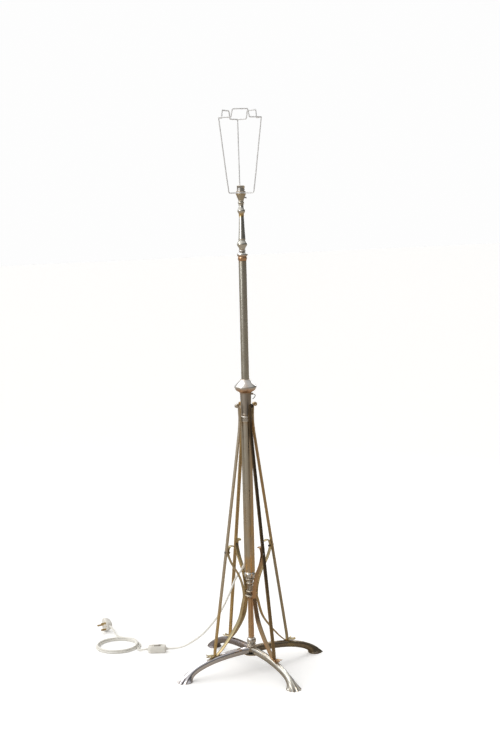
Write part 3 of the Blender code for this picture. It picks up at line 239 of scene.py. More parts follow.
def sweep(name, stations, section, side=(0, 1, 0), shape=None):
    """A bar along stations (x, y, z, thickness, width), which may add a tilt in degrees.

    side is the section's sideways axis, or None where it follows the path level with the floor.
    shape(share, normal, side) may change a corner of the section, with share from 0 to 1.
    """
    bm = bmesh.new()
    rings = []
    last = len(stations) - 1
    for k, station in enumerate(stations):
        place = Vector(station[:3])
        tangent = Vector(stations[min(k + 1, last)][:3]) - Vector(stations[max(k - 1, 0)][:3])
        if len(station) == 6:
            tilt = math.radians(station[5])
            tangent = Vector((math.cos(tilt), 0, math.sin(tilt)))
        tangent.normalize()
        across = Vector(side) if side else Vector((0, 0, 1)).cross(tangent).normalized()
        normal = tangent.cross(across)
        ring = []
        for out, aside in section(station[3], station[4]):
            if shape:
                out, aside = shape(k / last, out, aside)
            ring.append(bm.verts.new(place + out * normal + aside * across))
        rings.append(ring)
    loft(bm, rings)
    return finish_mesh(name, bm)


def planar(points, steps):
    """Stations in the XZ plane from (x, z, thickness, width, ...) in millimetres."""
    found = []
    for x, z, thickness, width, *tilt in smooth(points, steps):
        found.append([x * MM, 0, z * MM, thickness * MM, width * MM, *tilt])
    return found


def wire(name, points, radius, closed=False, sides=3):
    """A round wire or flex through points."""
    curve = bpy.data.curves.new(name, "CURVE")
    curve.dimensions = "3D"
    curve.bevel_depth = radius
    curve.bevel_resolution = sides
    curve.use_fill_caps = not closed
    spline = curve.splines.new("POLY")
    spline.points.add(len(points) - 1)
    for target, point in zip(spline.points, points):
        target.co = (*point, 1)
    spline.use_cyclic_u = closed
    spline.use_smooth = True
    return add(name, curve)


def bevel(bm, edges, radius, segments):
    """Rounds edges of a bmesh."""
    bmesh.ops.bevel(bm, geom=edges, offset=radius, segments=segments, affect="EDGES", profile=0.5)


def rounded_box(name, size, radius, segments=4):
    """A box about the origin with well rounded edges."""
    bm = bmesh.new()
    bmesh.ops.create_cube(bm, size=1, matrix=Matrix.Diagonal((*size, 1)))
    bevel(bm, bm.edges[:], radius, segments)
    return finish_mesh(name, bm)


def block(name, size, radius, matrix, segments=4):
    """A rounded block for a Boolean, sized in millimetres and placed by a matrix."""
    made = add(name, rounded_box(name, [length * MM for length in size], radius * MM, segments))
    made.matrix_world = matrix
    return made


def applied(piece):
    """Makes a piece's modifiers part of its mesh."""
    bpy.context.view_layer.update()
    graph = bpy.context.evaluated_depsgraph_get()
    mesh = bpy.data.meshes.new_from_object(piece.evaluated_get(graph))
    piece.modifiers.clear()
    piece.data = mesh
    mesh.shade_smooth()
    mesh.set_sharp_from_angle(angle=math.radians(40))
    return piece


def joined(piece, tools, operation="UNION"):
    """Combines a piece with tool objects, which are then removed."""
    for tool in tools:
        change = piece.modifiers.new(tool.name, "BOOLEAN")
        change.object = tool
        change.operation = operation
        change.solver = "EXACT"
    applied(piece)
    for tool in tools:
        bpy.data.objects.remove(tool)
    return piece


def moved(piece, matrix):
    """Bakes a placement into a piece's mesh."""
    piece.data.transform(matrix)
    return piece


def note_relief(mesh):
    """Stores at each vertex how far it stands proud (positive) or lies in a groove (negative)."""
    bm = bmesh.new()
    bm.from_mesh(mesh)
    values = []
    for vert in bm.verts:
        turns = [edge.calc_face_angle_signed(0.0) for edge in vert.link_edges]
        values.append((max(turns) + min(turns)) / math.radians(45) if turns else 0.0)
    for _ in range(2):
        spread = []
        for vert in bm.verts:
            near = [values[edge.other_vert(vert).index] for edge in vert.link_edges]
            spread.append(0.5 * values[vert.index] + 0.5 * sum(near) / max(len(near), 1))
        values = spread
    bm.free()
    layer = mesh.attributes.new("relief", "FLOAT", "POINT")
    layer.data.foreach_set("value", [min(max(v, -1.0), 1.0) for v in values])


def extra(piece, node, material):
    """Finishes a piece with a material and its relief, and has it move with a CAD node's body."""
    piece.data.materials.clear()
    piece.data.materials.append(material)
    if piece.type == "MESH":
        note_relief(piece.data)
    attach(piece, BODY_OF[node])
    return piece


def stand_in(piece, node, material):
    """Finishes a piece that takes the place of a CAD node."""
    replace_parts(extra(piece, node, material), node)
    return piece


# ---- camera


def make_camera():
    """The camera, looking down a little from standing height."""
    turn, dip = math.radians(CAMERA_TURN), math.radians(CAMERA_DIP)
    right = Vector((math.cos(turn), math.sin(turn), 0))
    away = Vector((-math.sin(turn), math.cos(turn), 0))
    back = -away * math.cos(dip) + Vector((0, 0, math.sin(dip)))
    rotation = Matrix((right, back.cross(right), back)).transposed().to_4x4()
    data = bpy.data.cameras.new("camera")
    data.lens = CAMERA_LENS
    data.sensor_width = 36
    camera = add("camera", data)
    roll = spin(CAMERA_ROLL)
    camera.matrix_world = shift(*CAMERA_PLACE) @ rotation @ roll
    bpy.context.scene.camera = camera


# ---- flex route


def exit_matrix():
    """The flex exit's frame: its origin on the column's wall, +Z along the way out."""
    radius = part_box("main_column")[1].x
    place = polar(radius, EXIT_ANGLE, low_of("main_column") + EXIT_RISE)
    return shift(*place) @ spin(EXIT_ANGLE) @ spin(90 + EXIT_TILT, "Y")


def switch_matrix():
    """The inline switch's frame: its origin under it on the floor, +X towards the coil."""
    return shift(*SWITCH_CENTRE, 0.1 * MM) @ spin(SWITCH_ANGLE)


def coil_point(turn, radius, height):
    """A point of the coil from its turn in degrees."""
    return Vector((*COIL_CENTRE, 0)) + polar(radius, turn, height)


def flex_route():
    """The flex's centre line, from the gland through the switch and the coil to the plug."""
    way_out = exit_matrix()
    out = way_out.to_3x3() @ Vector((0, 0, 1))
    start = way_out @ Vector((0, 0, GLAND_LENGTH))
    frame_there = switch_matrix()
    along = frame_there.to_3x3() @ Vector((1, 0, 0))
    near = frame_there @ Vector((-SWITCH_SIZE[0] / 2, 0, SWITCH_AXIS))
    far = frame_there @ Vector((SWITCH_SIZE[0] / 2, 0, SWITCH_AXIS))
    hang = [
        start - out * 4 * MM,
        start + out * 10 * MM,
        (-0.0262, 0.0500, 0.2850),
        (-0.0345, 0.0745, 0.2340),
        (-0.0430, 0.1010, 0.1860),
        (-0.0525, 0.1300, 0.1420),
        (-0.0650, 0.1620, 0.1020),
        (-0.0800, 0.1940, 0.0670),
        (-0.0965, 0.2210, 0.0430),
        (-0.1125, 0.2430, 0.0255),
        (-0.1280, 0.2605, 0.0160),
        (-0.1415, 0.2740, 0.0122),
        near - along * 8 * MM,
        near,
        far,
        far + along * 8 * MM,
        (-0.2312, 0.3311, 0.0090),
        (-0.2361, 0.3421, 0.0065),
        (-0.2361, 0.3541, 0.0046),
        (-0.2314, 0.3645, 0.0036),
        (-0.2186, 0.3785, FLEX_LYING),
        (-0.2076, 0.3955, FLEX_LYING),
    ]
    first, last, step = -10, 3 * 360 + 35, 15
    low, high = FLEX_LYING, 8.9 * MM
    keys = [
        (first, 74 * MM, low),
        (35, 70.4 * MM, low),
        (190, 71 * MM, low),
        (320, 70 * MM, low),
        (395, 63.8 * MM, low),
        (560, 62.6 * MM, low),
        (680, 63.6 * MM, low + 1.6 * MM),
        (755, 66.8 * MM, high),
        (920, 67.6 * MM, high),
        (1040, 67 * MM, high),
        (1090, 69.5 * MM, high + 1.6 * MM),
        (last, 72.4 * MM, high + 0.6 * MM),
    ]
    coil = []
    for turn in range(first, last, step):
        for (before, r0, z0), (after, r1, z1) in zip(keys, keys[1:]):
            if before <= turn < after:
                share = (turn - before) / (after - before)
                ease = share * share * (3 - 2 * share)
                coil.append(coil_point(turn, r0 + ease * (r1 - r0), z0 + ease * (z1 - z0)))
    entry = Vector((PLUG_CENTRE[0], PLUG_CENTRE[1] - PLUG_SIZE[1] / 2, 0.1 * MM + PLUG_SIZE[2] / 2))
    tail = [
        coil_point(last, 77 * MM, 6 * MM),
        (-0.2220, 0.4960, FLEX_LYING),
        (-0.2330, 0.5150, 0.0050),
        (-0.2350, 0.5330, 0.0090),
        (-0.2345, 0.5520, 0.0180),
        entry - Vector((0, 9 * MM, 0)),
        entry + Vector((0, 3 * MM, 0)),
    ]
    return smooth([tuple(p) for p in hang + coil + tail], 4)


# ---- materials


class Shading:
    """A node tree, with short calls for what the finishes and the studio share."""

    def __init__(self, tree, coordinates, seed=0):
        self.tree = tree
        self.seed = seed
        self.place = self.node("ShaderNodeTexCoord").outputs[coordinates]

    def put(self, socket, value):
        """Links an output to a socket, or sets the socket's value."""
        if isinstance(value, bpy.types.NodeSocket):
            self.tree.links.new(value, socket)
        else:
            socket.default_value = value

    def node(self, kind, inputs=None, **settings):
        """A new node with its settings made and its inputs filled."""
        made = self.tree.nodes.new(kind)
        for name, value in settings.items():
            setattr(made, name, value)
        for key, value in (inputs or {}).items():
            self.put(made.inputs[key], value)
        return made

    def noise(self, scale, detail=5, stretch=(1, 1, 1), rough=0.55, twist=0.0):
        """Noise in the object's own metres, from 0 to 1."""
        start = (self.seed * 3.7, self.seed * 1.9, self.seed)
        fields = {"Location": start, "Scale": stretch, "Vector": self.place}
        mapping = self.node("ShaderNodeMapping", fields).outputs["Vector"]
        self.seed += 1
        fields = {"Vector": mapping, "Scale": scale, "Detail": detail}
        fields |= {"Roughness": rough, "Distortion": twist}
        return self.node("ShaderNodeTexNoise", fields).outputs["Fac"]

    def spread(self, source, low, high, least=0.0, most=1.0, ease="LINEAR"):
        """Maps low..high of a value to least..most, clamped."""
        fields = {"Value": source, "From Min": low, "From Max": high, "To Min": least, "To Max": most}
        return self.node("ShaderNodeMapRange", fields, interpolation_type=ease).outputs["Result"]

    def math(self, operation, first, second):
        """The result of a sum or product of two values."""
        return self.node("ShaderNodeMath", {0: first, 1: second}, operation=operation).outputs[0]

    def sum(self, *parts):
        """Adds (value, weight) pairs, clamped to 0..1."""
        total = 0.0
        for value, weight in parts:
            fields = {0: value, 1: weight, 2: total}
            total = self.node("ShaderNodeMath", fields, operation="MULTIPLY_ADD").outputs[0]
        total.node.use_clamp = True
        return total

    def mix(self, share, first, second):
        """A mix of two colours."""
        found = self.node("ShaderNodeMix", data_type="RGBA")
        self.put(found.inputs["Factor"], share)
        for socket, value in ((found.inputs["A"], first), (found.inputs["B"], second)):
            self.put(socket, value if isinstance(value, bpy.types.NodeSocket) else (*value, 1))
        return found.outputs["Result"]

    def along(self, axis):
        """Distance along an axis through the origin."""
        fields = {0: self.place, 1: axis}
        return self.node("ShaderNodeVectorMath", fields, operation="DOT_PRODUCT").outputs["Value"]


class Finish(Shading):
    """A material's shading."""

    def __init__(self, name, seed=0):
        self.material = bpy.data.materials.new(name)
        self.material.use_nodes = True
        super().__init__(self.material.node_tree, "Object", seed)
        self.shader = self.tree.nodes["Principled BSDF"]

    def set(self, **values):
        """Fills inputs of the shader, such as Base_Color for "Base Color"."""
        for name, value in values.items():
            self.put(self.shader.inputs[name.replace("_", " ")], value)

    def relief(self):
        """How far the surface stands proud or lies in a groove, from -1 to 1."""
        return self.node("ShaderNodeAttribute", attribute_name="relief").outputs["Fac"]

    def bump(self, height, depth, strength):
        """Adds a bump of a given depth in metres to the surface."""
        found = self.node("ShaderNodeBump", {"Distance": depth, "Strength": strength, "Height": height})
        before = self.shader.inputs["Normal"]
        if before.links:
            self.put(found.inputs["Normal"], before.links[0].from_socket)
        self.put(before, found.outputs["Normal"])


def plated(name, plate, bare, dark, shine, worn, dirty, seed, zones=(), side=None, metal=1.0):
    """Worn plated metal: bare metal through the plate, tarnish in the grooves, fine scratches.

    shine is the roughness of the clean plate; worn and dirty say how much is bare or tarnished.
    zones are (level, half height, strength) of heights where the plate turns towards the bare colour,
    used as painted warm reflection on lower faces; side is (angle, strength, reach) for a side that
    does, used as painted shade.
    """
    s = Finish(name, seed)
    relief = s.relief()
    patches = s.noise(13, 6, (1, 1, 0.45), 0.6, 0.4)
    patches = s.spread(patches, 0.62 - 0.35 * worn, 0.78 - 0.3 * worn)
    fine = s.spread(s.noise(120, 8, (1, 1, 0.5), 0.65), 0.45, 0.75)
    parts = [(patches, 0.75), (fine, 0.3 * worn), (s.spread(relief, 0.25, 0.9), 0.5)]
    # Bands of height and one side turned towards the bare colour: painted warm reflection and painted
    # shade.
    for level, half, strength in zones:
        height = s.along((0, 0, 1))
        rise = s.spread(height, level - half, level - 0.4 * half)
        fall = s.spread(height, level + 0.4 * half, level + half, 1, 0)
        parts.append((s.math("MULTIPLY", rise, fall), strength))
    if side:
        angle, strength, reach = side
        parts.append((s.spread(s.along(polar(1, angle)), -0.3 * reach, 0.8 * reach), strength))
    colour = s.mix(s.sum(*parts), plate, bare)
    blotch = s.noise(55, 8, (1, 1, 0.6), 0.7, 0.8)
    blotch = s.spread(blotch, 0.66 - 0.3 * dirty, 0.86 - 0.2 * dirty)
    groove = s.spread(relief, -0.15, -0.8)
    colour = s.mix(s.sum((blotch, 0.5 * dirty + 0.06), (groove, 0.85)), colour, dark)
    specks = s.spread(s.noise(420, 3, (1, 1, 1), 0.6), 0.69, 0.75)
    colour = s.mix(s.sum((specks, 0.3)), colour, dark)
    scratches = s.noise(900, 4, (1, 1, 0.03), 0.6)
    cloudy = s.spread(s.noise(30, 5), 0.3, 0.7)
    parts = [(blotch, 0.22), (groove, 0.25), (cloudy, 0.12), (scratches, 0.1), (1.0, shine - 0.08)]
    s.set(Base_Color=colour, Metallic=metal, Roughness=s.sum(*parts))
    s.bump(scratches, 0.05 * MM, 0.2)
    s.bump(s.noise(260, 6, (1, 1, 0.7), 0.6), 0.12 * MM, 0.16)
    return s.material


def moulded(name, colour, stain, rough, seed, grain=0.03):
    """Moulded plastic or flex sheath, a little yellowed and scuffed."""
    s = Finish(name, seed)
    tint = s.spread(s.noise(18, 5), 0.35, 0.75)
    marks = s.spread(s.noise(140, 7, (1, 1, 1), 0.7, 0.6), 0.62, 0.8)
    groove = s.spread(s.relief(), -0.1, -0.8)
    s.set(
        Base_Color=s.mix(s.sum((tint, 0.35), (marks, 0.25), (groove, 0.7)), colour, stain),
        Roughness=s.sum((marks, 0.2), (s.noise(60, 4), 0.1), (1.0, rough - 0.1)),
    )
    s.bump(s.noise(1500, 3), grain * MM, 0.4)
    return s.material


SILVER = (0.80, 0.79, 0.76)
PEWTER = (0.56, 0.55, 0.49)
STEEL = (0.60, 0.60, 0.61)
BRASS = (0.74, 0.53, 0.27)
GOLD = (0.78, 0.56, 0.26)
COPPER = (0.72, 0.43, 0.24)
UMBER = (0.10, 0.075, 0.05)
SOOT = (0.035, 0.032, 0.035)


def make_materials():
    """Every finish of the lamp, by name."""
    column_low, bulb_low, cap_low = map(low_of, ("main_column", "height_bulb", "tube_cap"))
    # plate, bare metal, tarnish, roughness, wear, dirt, seed, painted reflection bands, painted shade
    # side, metal share
    metals = {
        "silver": (SILVER, BRASS, UMBER, 0.17, 0.16, 0.25, 1),
        # The bulb, baluster and cap bands turn their lower faces copper and gold: painted reflection of
        # a warm floor.
        "bulb": (SILVER, COPPER, UMBER, 0.16, 0.1, 0.2, 5, [(bulb_low + 3 * MM, 13 * MM, 0.9)]),
        "baluster": ((0.74, 0.73, 0.67), GOLD, UMBER, 0.16, 0.2, 0.3, 9, [(1.461, 9 * MM, 0.9)]),
        "cap": (SILVER, COPPER, UMBER, 0.18, 0.1, 0.25, 12, [(cap_low + 7 * MM, 13 * MM, 0.95)]),
        "pewter": (PEWTER, (0.58, 0.50, 0.36), UMBER, 0.24, 0.1, 0.25, 15),
        "dull": ((0.46, 0.42, 0.37), (0.56, 0.44, 0.31), UMBER, 0.38, 0.3, 0.6, 19),
        # The column's right-hand side turns warm and darker: painted shade; its bands make it warmer
        # towards the foot.
        "column": (
            (0.62, 0.60, 0.53), (0.70, 0.49, 0.26), UMBER, 0.27, 0.2, 0.3, 23,
            [(column_low + 30 * MM, 26 * MM, 0.6), (column_low + 130 * MM, 180 * MM, 0.25)],
            (-20, 0.75, 16 * MM),
        ),
        "stem": ((0.76, 0.52, 0.30), COPPER, UMBER, 0.27, 0.5, 0.3, 27),
        "reel": ((0.62, 0.60, 0.55), BRASS, UMBER, 0.2, 0.3, 0.55, 31),
        "champagne": ((0.60, 0.56, 0.46), GOLD, UMBER, 0.22, 0.35, 0.4, 35),
        "nickel": ((0.62, 0.62, 0.61), BRASS, SOOT, 0.22, 0.1, 0.3, 39),
        # The four legs are one cast plate; each has its own tone as it is lit: painted highlight on the
        # front-left leg, painted shade on the back legs.
        "leg_front_left": ((0.88, 0.87, 0.92), BRASS, SOOT, 0.08, 0.05, 0.12, 43),
        "leg_front_right": ((0.68, 0.66, 0.60), BRASS, SOOT, 0.2, 0.1, 0.3, 47),
        "leg_back_right": ((0.30, 0.25, 0.19), (0.45, 0.36, 0.2), UMBER, 0.25, 0.4, 0.5, 51),
        "leg_back_left": ((0.34, 0.31, 0.32), (0.42, 0.29, 0.17), UMBER, 0.24, 0.35, 0.5, 55),
        # The four stays are one plate too; their tones and bands are painted light and shade, the
        # front-right stay nearly black with painted shade.
        "stay_front_left": (
            (0.66, 0.63, 0.57), GOLD, UMBER, 0.26, 0.1, 0.3, 59, [(0.14, 0.12, 0.6)],
        ),
        "stay_back_left": ((0.60, 0.46, 0.27), GOLD, UMBER, 0.26, 0.6, 0.35, 63),
        "stay_front_right": (
            (0.075, 0.065, 0.06), (0.42, 0.30, 0.16), SOOT, 0.24, 0.1, 0.4, 67, [(0.16, 0.17, 0.75)],
        ),
        "stay_back_right": (
            (0.44, 0.41, 0.33), (0.66, 0.48, 0.26), UMBER, 0.26, 0.3, 0.4, 71, [(0.62, 0.25, 0.8)],
        ),
        "brace": ((0.55, 0.47, 0.28), (0.66, 0.48, 0.24), UMBER, 0.24, 0.4, 0.4, 75),
        # A warmer copy of the brace finish for the front-right brace: painted reflection.
        "brace_warm_reflection": ((0.62, 0.44, 0.26), COPPER, UMBER, 0.24, 0.5, 0.35, 79),
        "wire": ((0.80, 0.80, 0.80), STEEL, (0.45, 0.43, 0.41), 0.45, 0.1, 0.15, 83, (), None, 0.45),
        "dark_steel": ((0.20, 0.19, 0.18), STEEL, SOOT, 0.36, 0.2, 0.5, 87),
        "brass": ((0.58, 0.42, 0.20), (0.70, 0.53, 0.27), UMBER, 0.26, 0.3, 0.4, 91),
    }
    # colour, stain, roughness, seed, depth of the grain in mm
    plastics = {
        "sheath": ((0.90, 0.885, 0.83), (0.74, 0.70, 0.60), 0.42, 95, 0.05),
        "plastic": ((0.90, 0.88, 0.82), (0.70, 0.65, 0.54), 0.36, 99),
        "lever": ((0.40, 0.37, 0.32), (0.24, 0.21, 0.17), 0.4, 103),
        "bakelite": ((0.12, 0.10, 0.085), (0.05, 0.04, 0.035), 0.35, 107),
    }
    made = {name: plated(name, *row) for name, row in metals.items()}
    return made | {name: moulded(name, *row) for name, row in plastics.items()}


# ---- base

FLUTES = 11
FLUTE_DEPTH = 0.23
FLUTE_START = 0.58
FLUTE_FULL = 0.78
FLUTE_WRAP = 0.35
RIDGE_RISE = 0.06
RIDGE_HALF = 4 * MM
LEG_POINTS = [
    (11.3, 58.8, 22.0, 20.0, 0),
    (45.0, 59.3, 23.0, 21.0, -2),
    (100.0, 56.0, 22.5, 20.5, -7),
    (150.0, 48.5, 21.5, 20.3, -13),
    (187.5, 38.5, 21.5, 19.0, -21),
    (212.5, 28.5, 21.6, 19.2, -32),
    (230.0, 18.5, 25.5, 25.4, -52),
    (242.0, 8.6, 36.5, 35.5, -76),
    (248.4, 2.4, 47.0, 44.8, -90),
    (249.5, 0.4, 48.4, 45.6, -90),
    (249.5, 0.0, 47.4, 44.6, -90),
]


def fluted(share, out, aside):
    """Flutes that open like a fan over the front of the foot."""
    fade = min(max((share - FLUTE_START) / (FLUTE_FULL - FLUTE_START), 0), 1)
    turn = math.atan2(aside, out)
    front = min(max(math.cos(turn) + FLUTE_WRAP, 0), 1)
    groove = (turn / (2 * math.pi) * FLUTES) % 1
    hollow = 1 - FLUTE_DEPTH * fade * front * (1 - (2 * groove - 1) ** 2)
    return out * hollow, aside * hollow


def ridged(share, out, aside):
    """A leg's section, drawn up to a soft ridge along its back."""
    rise = 1 + RIDGE_RISE * max(1 - abs(aside) / RIDGE_HALF, 0) * (out > 0)
    return fluted(share, out * rise, aside)


def make_legs(finish):
    """The hub and four arched legs with fluted hoof feet."""
    def section(thickness, width):
        return oval(thickness, width, 88)

    stations = planar(LEG_POINTS, 9)
    for side, angle in LEG_ANGLES.items():
        mesh = sweep(f"cast_leg_{side}", stations, section, shape=ridged)
        mesh.transform(spin(angle))
        # Each leg takes its own lit tone of the plate: painted highlight and painted shade.
        stand_in(add(f"cast_leg_{side}", mesh), f"leg_{side}", finish[f"leg_{side}"])
    low, top = low_of("base_hub"), top_of("base_hub")
    plate = spindle("hub_casting", in_mm([(24, 3), (25, 2), (25, 0)], low), ROD_WAY)
    plate_rise = shift(0, 0, (top + low) / 2 + 0.5 * MM)
    joined(plate, [block("boss", (22, 22, (top - low) / MM - 1), 0.8, plate_rise, 3)])
    way = [(0, top + 0.01), (ROD_WAY, top + 0.01), (ROD_WAY, low - 0.01), (0, low - 0.01)]
    joined(plate, [lathe("rod_way", way, 32)], "DIFFERENCE")
    # The hub shares the front-right leg's tone, a painted mid-light copy of the plate.
    stand_in(plate, "base_hub", finish["leg_front_right"])


def make_lower_column(finish):
    """The turned bun, stem, reel and ball under the main column."""
    def turned(name, node, profile, kind):
        stand_in(spindle(name, profile, ROD_WAY), node, finish[kind])

    bun = [(8.6, 0), (8.6, -1.0), *bead(15, -11.5, 10, 8.6, 18), (12.4, -21.9), (12.4, -22.6)]
    bun += [*bead(15, -24, 1.4, 12.6), (12.8, -25.7), *bead(15.6, -28, 2.2, 13)]
    bun += [(13.2, -30.6), (13.2, -31)]
    turned("turned_bun", "base_bun", in_mm(bun, top_of("base_bun")), "silver")

    top = top_of("lower_stem")
    height = (top - low_of("lower_stem")) / MM
    stem = [(8.2, 0), (8.2, -1.2), (8.9, -1.6), (8.9, -2.8), (8.0, -3.4)]
    stem += smooth([(8.2, -5), (8.7, -0.35 * height), (9.4, -0.75 * height), (9.3, 4 - height)], 8)
    stem += [(9.9, 3.4 - height), (9.9, 1.4 - height), (9.1, 1 - height), (9.1, -height)]
    turned("tapered_stem", "lower_stem", in_mm(stem, top), "stem")

    high = [(9.6, 0), (9.6, -0.8), *bead(14.5, -5, 4, 9.6, 14), (9.2, -9.8), (10.2, -10.3)]
    high += [(10.2, -11.4), (8.8, -12.2), *smooth([(8.8, -12.4), (9.6, -14.4)], 4)]
    high += [*bead(12.4, -18.5, 3.4, 9.6), (9.0, -23), (8.4, -26), (8.3, -31), (8.8, -36), (9.4, -40)]
    low = [*bead(13.6, 20.5, 3.2, 9.6), (9.6, 16.4), (10.8, 15.9), (10.8, 14.6), (9.8, 14)]
    low += [*bead(21.4, 8, 3.4, 12, 14), (10.6, 3.6), (10.6, 1), (9.6, 0.5), (9.6, 0)]
    reel = in_mm(high, top_of("knop_reel")) + in_mm(low, low_of("knop_reel"))
    turned("turned_reel", "knop_reel", reel, "reel")

    ball = [(14.6, 29), (14.6, 20), (15.2, 20), (15.6, 19.5), (15.6, 18.4)]
    ball += [*bead(18.4, 9.6, 8.6, 13.6, 20), (13, 0.8), (13, 0)]
    turned("turned_ball", "column_ball", in_mm(ball, low_of("column_ball")), "silver")


def make_column(finish):
    """The main column with its flex gland, the ribbed collar, the dull sleeve and the bulb."""
    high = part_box("main_column")[1]
    outer, bore = high.x, high.x - COLUMN_WALL
    top, low = top_of("main_column"), low_of("main_column")
    wall = [(outer - 0.3 * MM, top), (outer, top - 0.3 * MM)]
    wall += [(outer, low + share * (top - low)) for share in (0.96, 0.75, 0.5, 0.25, 0.04)]
    wall += [(outer, low + 0.3 * MM), (outer - 0.3 * MM, low)]
    column = spindle("column_tube", wall, bore, 96)
    hole = lathe("exit_hole", in_mm([(0, 12), (4.9, 12), (4.9, -6), (0, -6)]), 32)
    hole.matrix_world = exit_matrix()
    joined(column, [hole], "DIFFERENCE")
    stand_in(column, "main_column", finish["column"])

    reach = GLAND_LENGTH / MM
    gland = [(0, reach), (3.7, reach), (4.0, reach - 0.5)]
    for rib in range(5):
        base, swell = 18.2 - 3.2 * rib, 0.03 * rib
        gland += [(4.0 + swell, base + 1.4), (3.6, base + 1.0), (3.6, base), (4.05 + swell, base - 0.4)]
    gland += [(4.5, 2.2), (4.6, -2.2), (0, -2.2)]
    relief = moved(lathe("strain_relief", in_mm(gland), 40), exit_matrix())
    stand_in(relief, "cable_gland", finish["plastic"])

    level, crest = low_of("column_collar"), top_of("column_collar")

    def ribs(radius, height, turn):
        in_band = level + 2.2 * MM < height < level + 12.2 * MM and radius > outer + 0.8 * MM
        return radius - 0.8 * MM * (in_band and math.cos(24 * turn) > 0.15)

    brim = [(17, 0), *bead(18.9, -3, 2.4, 17.6, 12), (17.6, -6.2), (18.2, -6.6), (18.2, -7.1)]
    band = [(18.2, 10.6), (18.2, 10), (18.2, 6), (18.2, 3), (18.2, 2.4)]
    band += [(18.3, 1.8), (18.3, 0.6), (17.9, 0)]
    seat = outer + 0.3 * MM
    collar = [(bore, crest), *in_mm(brim, crest), *in_mm(band, level)]
    collar += [(seat, level), (seat, top + 0.3 * MM), (bore, top + 0.3 * MM)]
    stand_in(lathe("ribbed_collar", collar, 192, ribs), "column_collar", finish["silver"])

    top = top_of("tapered_sleeve")
    height = (top - low_of("tapered_sleeve")) / MM
    sleeve = [(17.6, 0), (18.2, -0.5), (18.2, -2.4), (17.7, -3)]
    sleeve += smooth([(17.6, -4), (16.6, -0.45 * height), (15.5, 6 - height)], 8)
    sleeve += [(15.9, 5.2 - height), (15.9, 2.6 - height), (15.3, 2 - height), (15.3, -height)]
    stand_in(spindle("dull_sleeve", in_mm(sleeve, top), TUBE_WAY), "tapered_sleeve", finish["dull"])

    bulb = [(14.6, 0), (15.3, -0.4), (16.0, -1.4), (15.9, -2.2)]
    bulb += smooth([(16.2, -2.4), (20.6, -7.6), (26.6, -13.2), (31.6, -18.4), (34.2, -21.6)], 8)
    bulb += smooth([(34.6, -22.2), (35.2, -24), (35.0, -26), (34.4, -27.4)], 5)
    bulb += [(33.9, -27.8), (33.5, -28)]
    bulb += smooth([(33.3, -28.6), (31.4, -33), (27.2, -37), (22.6, -39.6), (20.4, -41)], 8)
    bulb += [(19.8, -41.4), (19.8, -42)]
    bulb = in_mm(bulb, top_of("height_bulb"))
    stand_in(spindle("turned_bulb", bulb, TUBE_WAY, 96), "height_bulb", finish["bulb"])


def make_catch(finish):
    """The sprung wire catch between its two ears."""
    barrel = 2.6 * MM
    stand_off = 18.2 * MM + barrel + 0.6 * MM
    level = low_of("height_bulb") - barrel - 2.5 * MM
    there = shift(*polar(stand_off, CATCH_ANGLE, level)) @ spin(CATCH_ANGLE)
    reach = 9
    outline = [(0, -1.6), (0.45 * reach, -1.5), (0.9 * reach, -3.4), (reach, -6.5), (0.86 * reach, -9.4)]
    outline += [(0.3 * reach, -1.7 * reach), (-0.04 * reach, -1.85 * reach)]
    points = [there @ Vector((x * MM, 0, z * MM)) for x, z in smooth(outline, 8)]
    loop = wire("catch_wire", points, 1.1 * MM, sides=4)
    stand_in(loop, "release_catch", finish["dark_steel"])
    half = 2 * MM
    roll = [(0.0012, half), (barrel - 0.4 * MM, half), (barrel, half - 0.4 * MM)]
    roll += [(barrel, 0.4 * MM - half), (barrel - 0.4 * MM, -half), (0.0012, -half)]
    eye = moved(lathe("catch_barrel", roll, 32), there @ spin(-90, "X"))
    extra(eye, "release_catch", finish["dark_steel"])
    for number, offset in enumerate((-1, 1), 1):
        size = (8.7 * MM, 1.6 * MM, 5.2 * MM)
        ear = add(f"catch_ear_{number}", rounded_box("ear", size, 0.5 * MM, 3))
        moved(ear, there @ shift(barrel - 4.35 * MM, offset * 3.1 * MM))
        extra(ear, "tapered_sleeve", finish["dull"])


# ---- stays and braces

STAY_POINTS = [
    (137.0, 67.6, 7.5, 10.5),
    (131.3, 112.5, 7.5, 10.5),
    (85.7, 397.0, 7.5, 10.5),
    (34.4, 726.5, 7.5, 10.5),
    (25.2, 790.1, 7.5, 10.5),
    (23.0, 821.3, 7.5, 10.5),
    (23.4, 832.6, 7.3, 10.4),
    (24.9, 846.6, 6.2, 9.8),
]
SCROLL_CENTRE = (33.3, 861.6)
SCROLL_RADIUS = 7
SCROLL_TURN = 450
BRACE_POINTS = [
    (57.0, 409.4, 2.2, 8.0),
    (59.6, 412.6, 3.4, 11.0),
    (67.5, 414.0, 3.5, 13.4),
    (74.5, 411.0, 3.5, 14.0),
    (78.5, 402.0, 3.5, 14.0),
    (79.7, 394.0, 3.5, 14.0),
    (78.5, 385.0, 3.5, 14.0),
    (66.3, 354.4, 3.5, 14.0),
    (42.2, 314.8, 3.5, 14.0),
    (28.1, 275.2, 3.5, 14.0),
    (23.7, 241.7, 3.5, 14.0),
    (27.6, 222.3, 3.5, 14.2),
    (41.8, 171.1, 3.5, 15.5),
    (66.2, 132.3, 3.5, 15.5),
    (100.7, 91.7, 3.5, 14.2),
    (123.4, 70.2, 3.5, 13.2),
    (131.0, 65.2, 3.5, 13.0),
    (143.0, 65.2, 3.6, 12.0),
    (151.4, 65.7, 3.8, 9.6),
    (160.0, 64.9, 3.6, 8.4),
    (166.0, 65.0, 2.8, 6.0),
    (169.6, 67.2, 1.6, 2.4),
]
PRONG_POINTS = [
    (139.0, 65.2, 2.0, 3.2, 7.6),
    (146.0, 65.8, 6.0, 3.4, 7.6),
    (153.0, 65.2, 9.8, 3.2, 6.8),
    (158.5, 65.6, 12.8, 2.6, 5.0),
    (161.6, 68.6, 14.6, 1.6, 2.2),
]


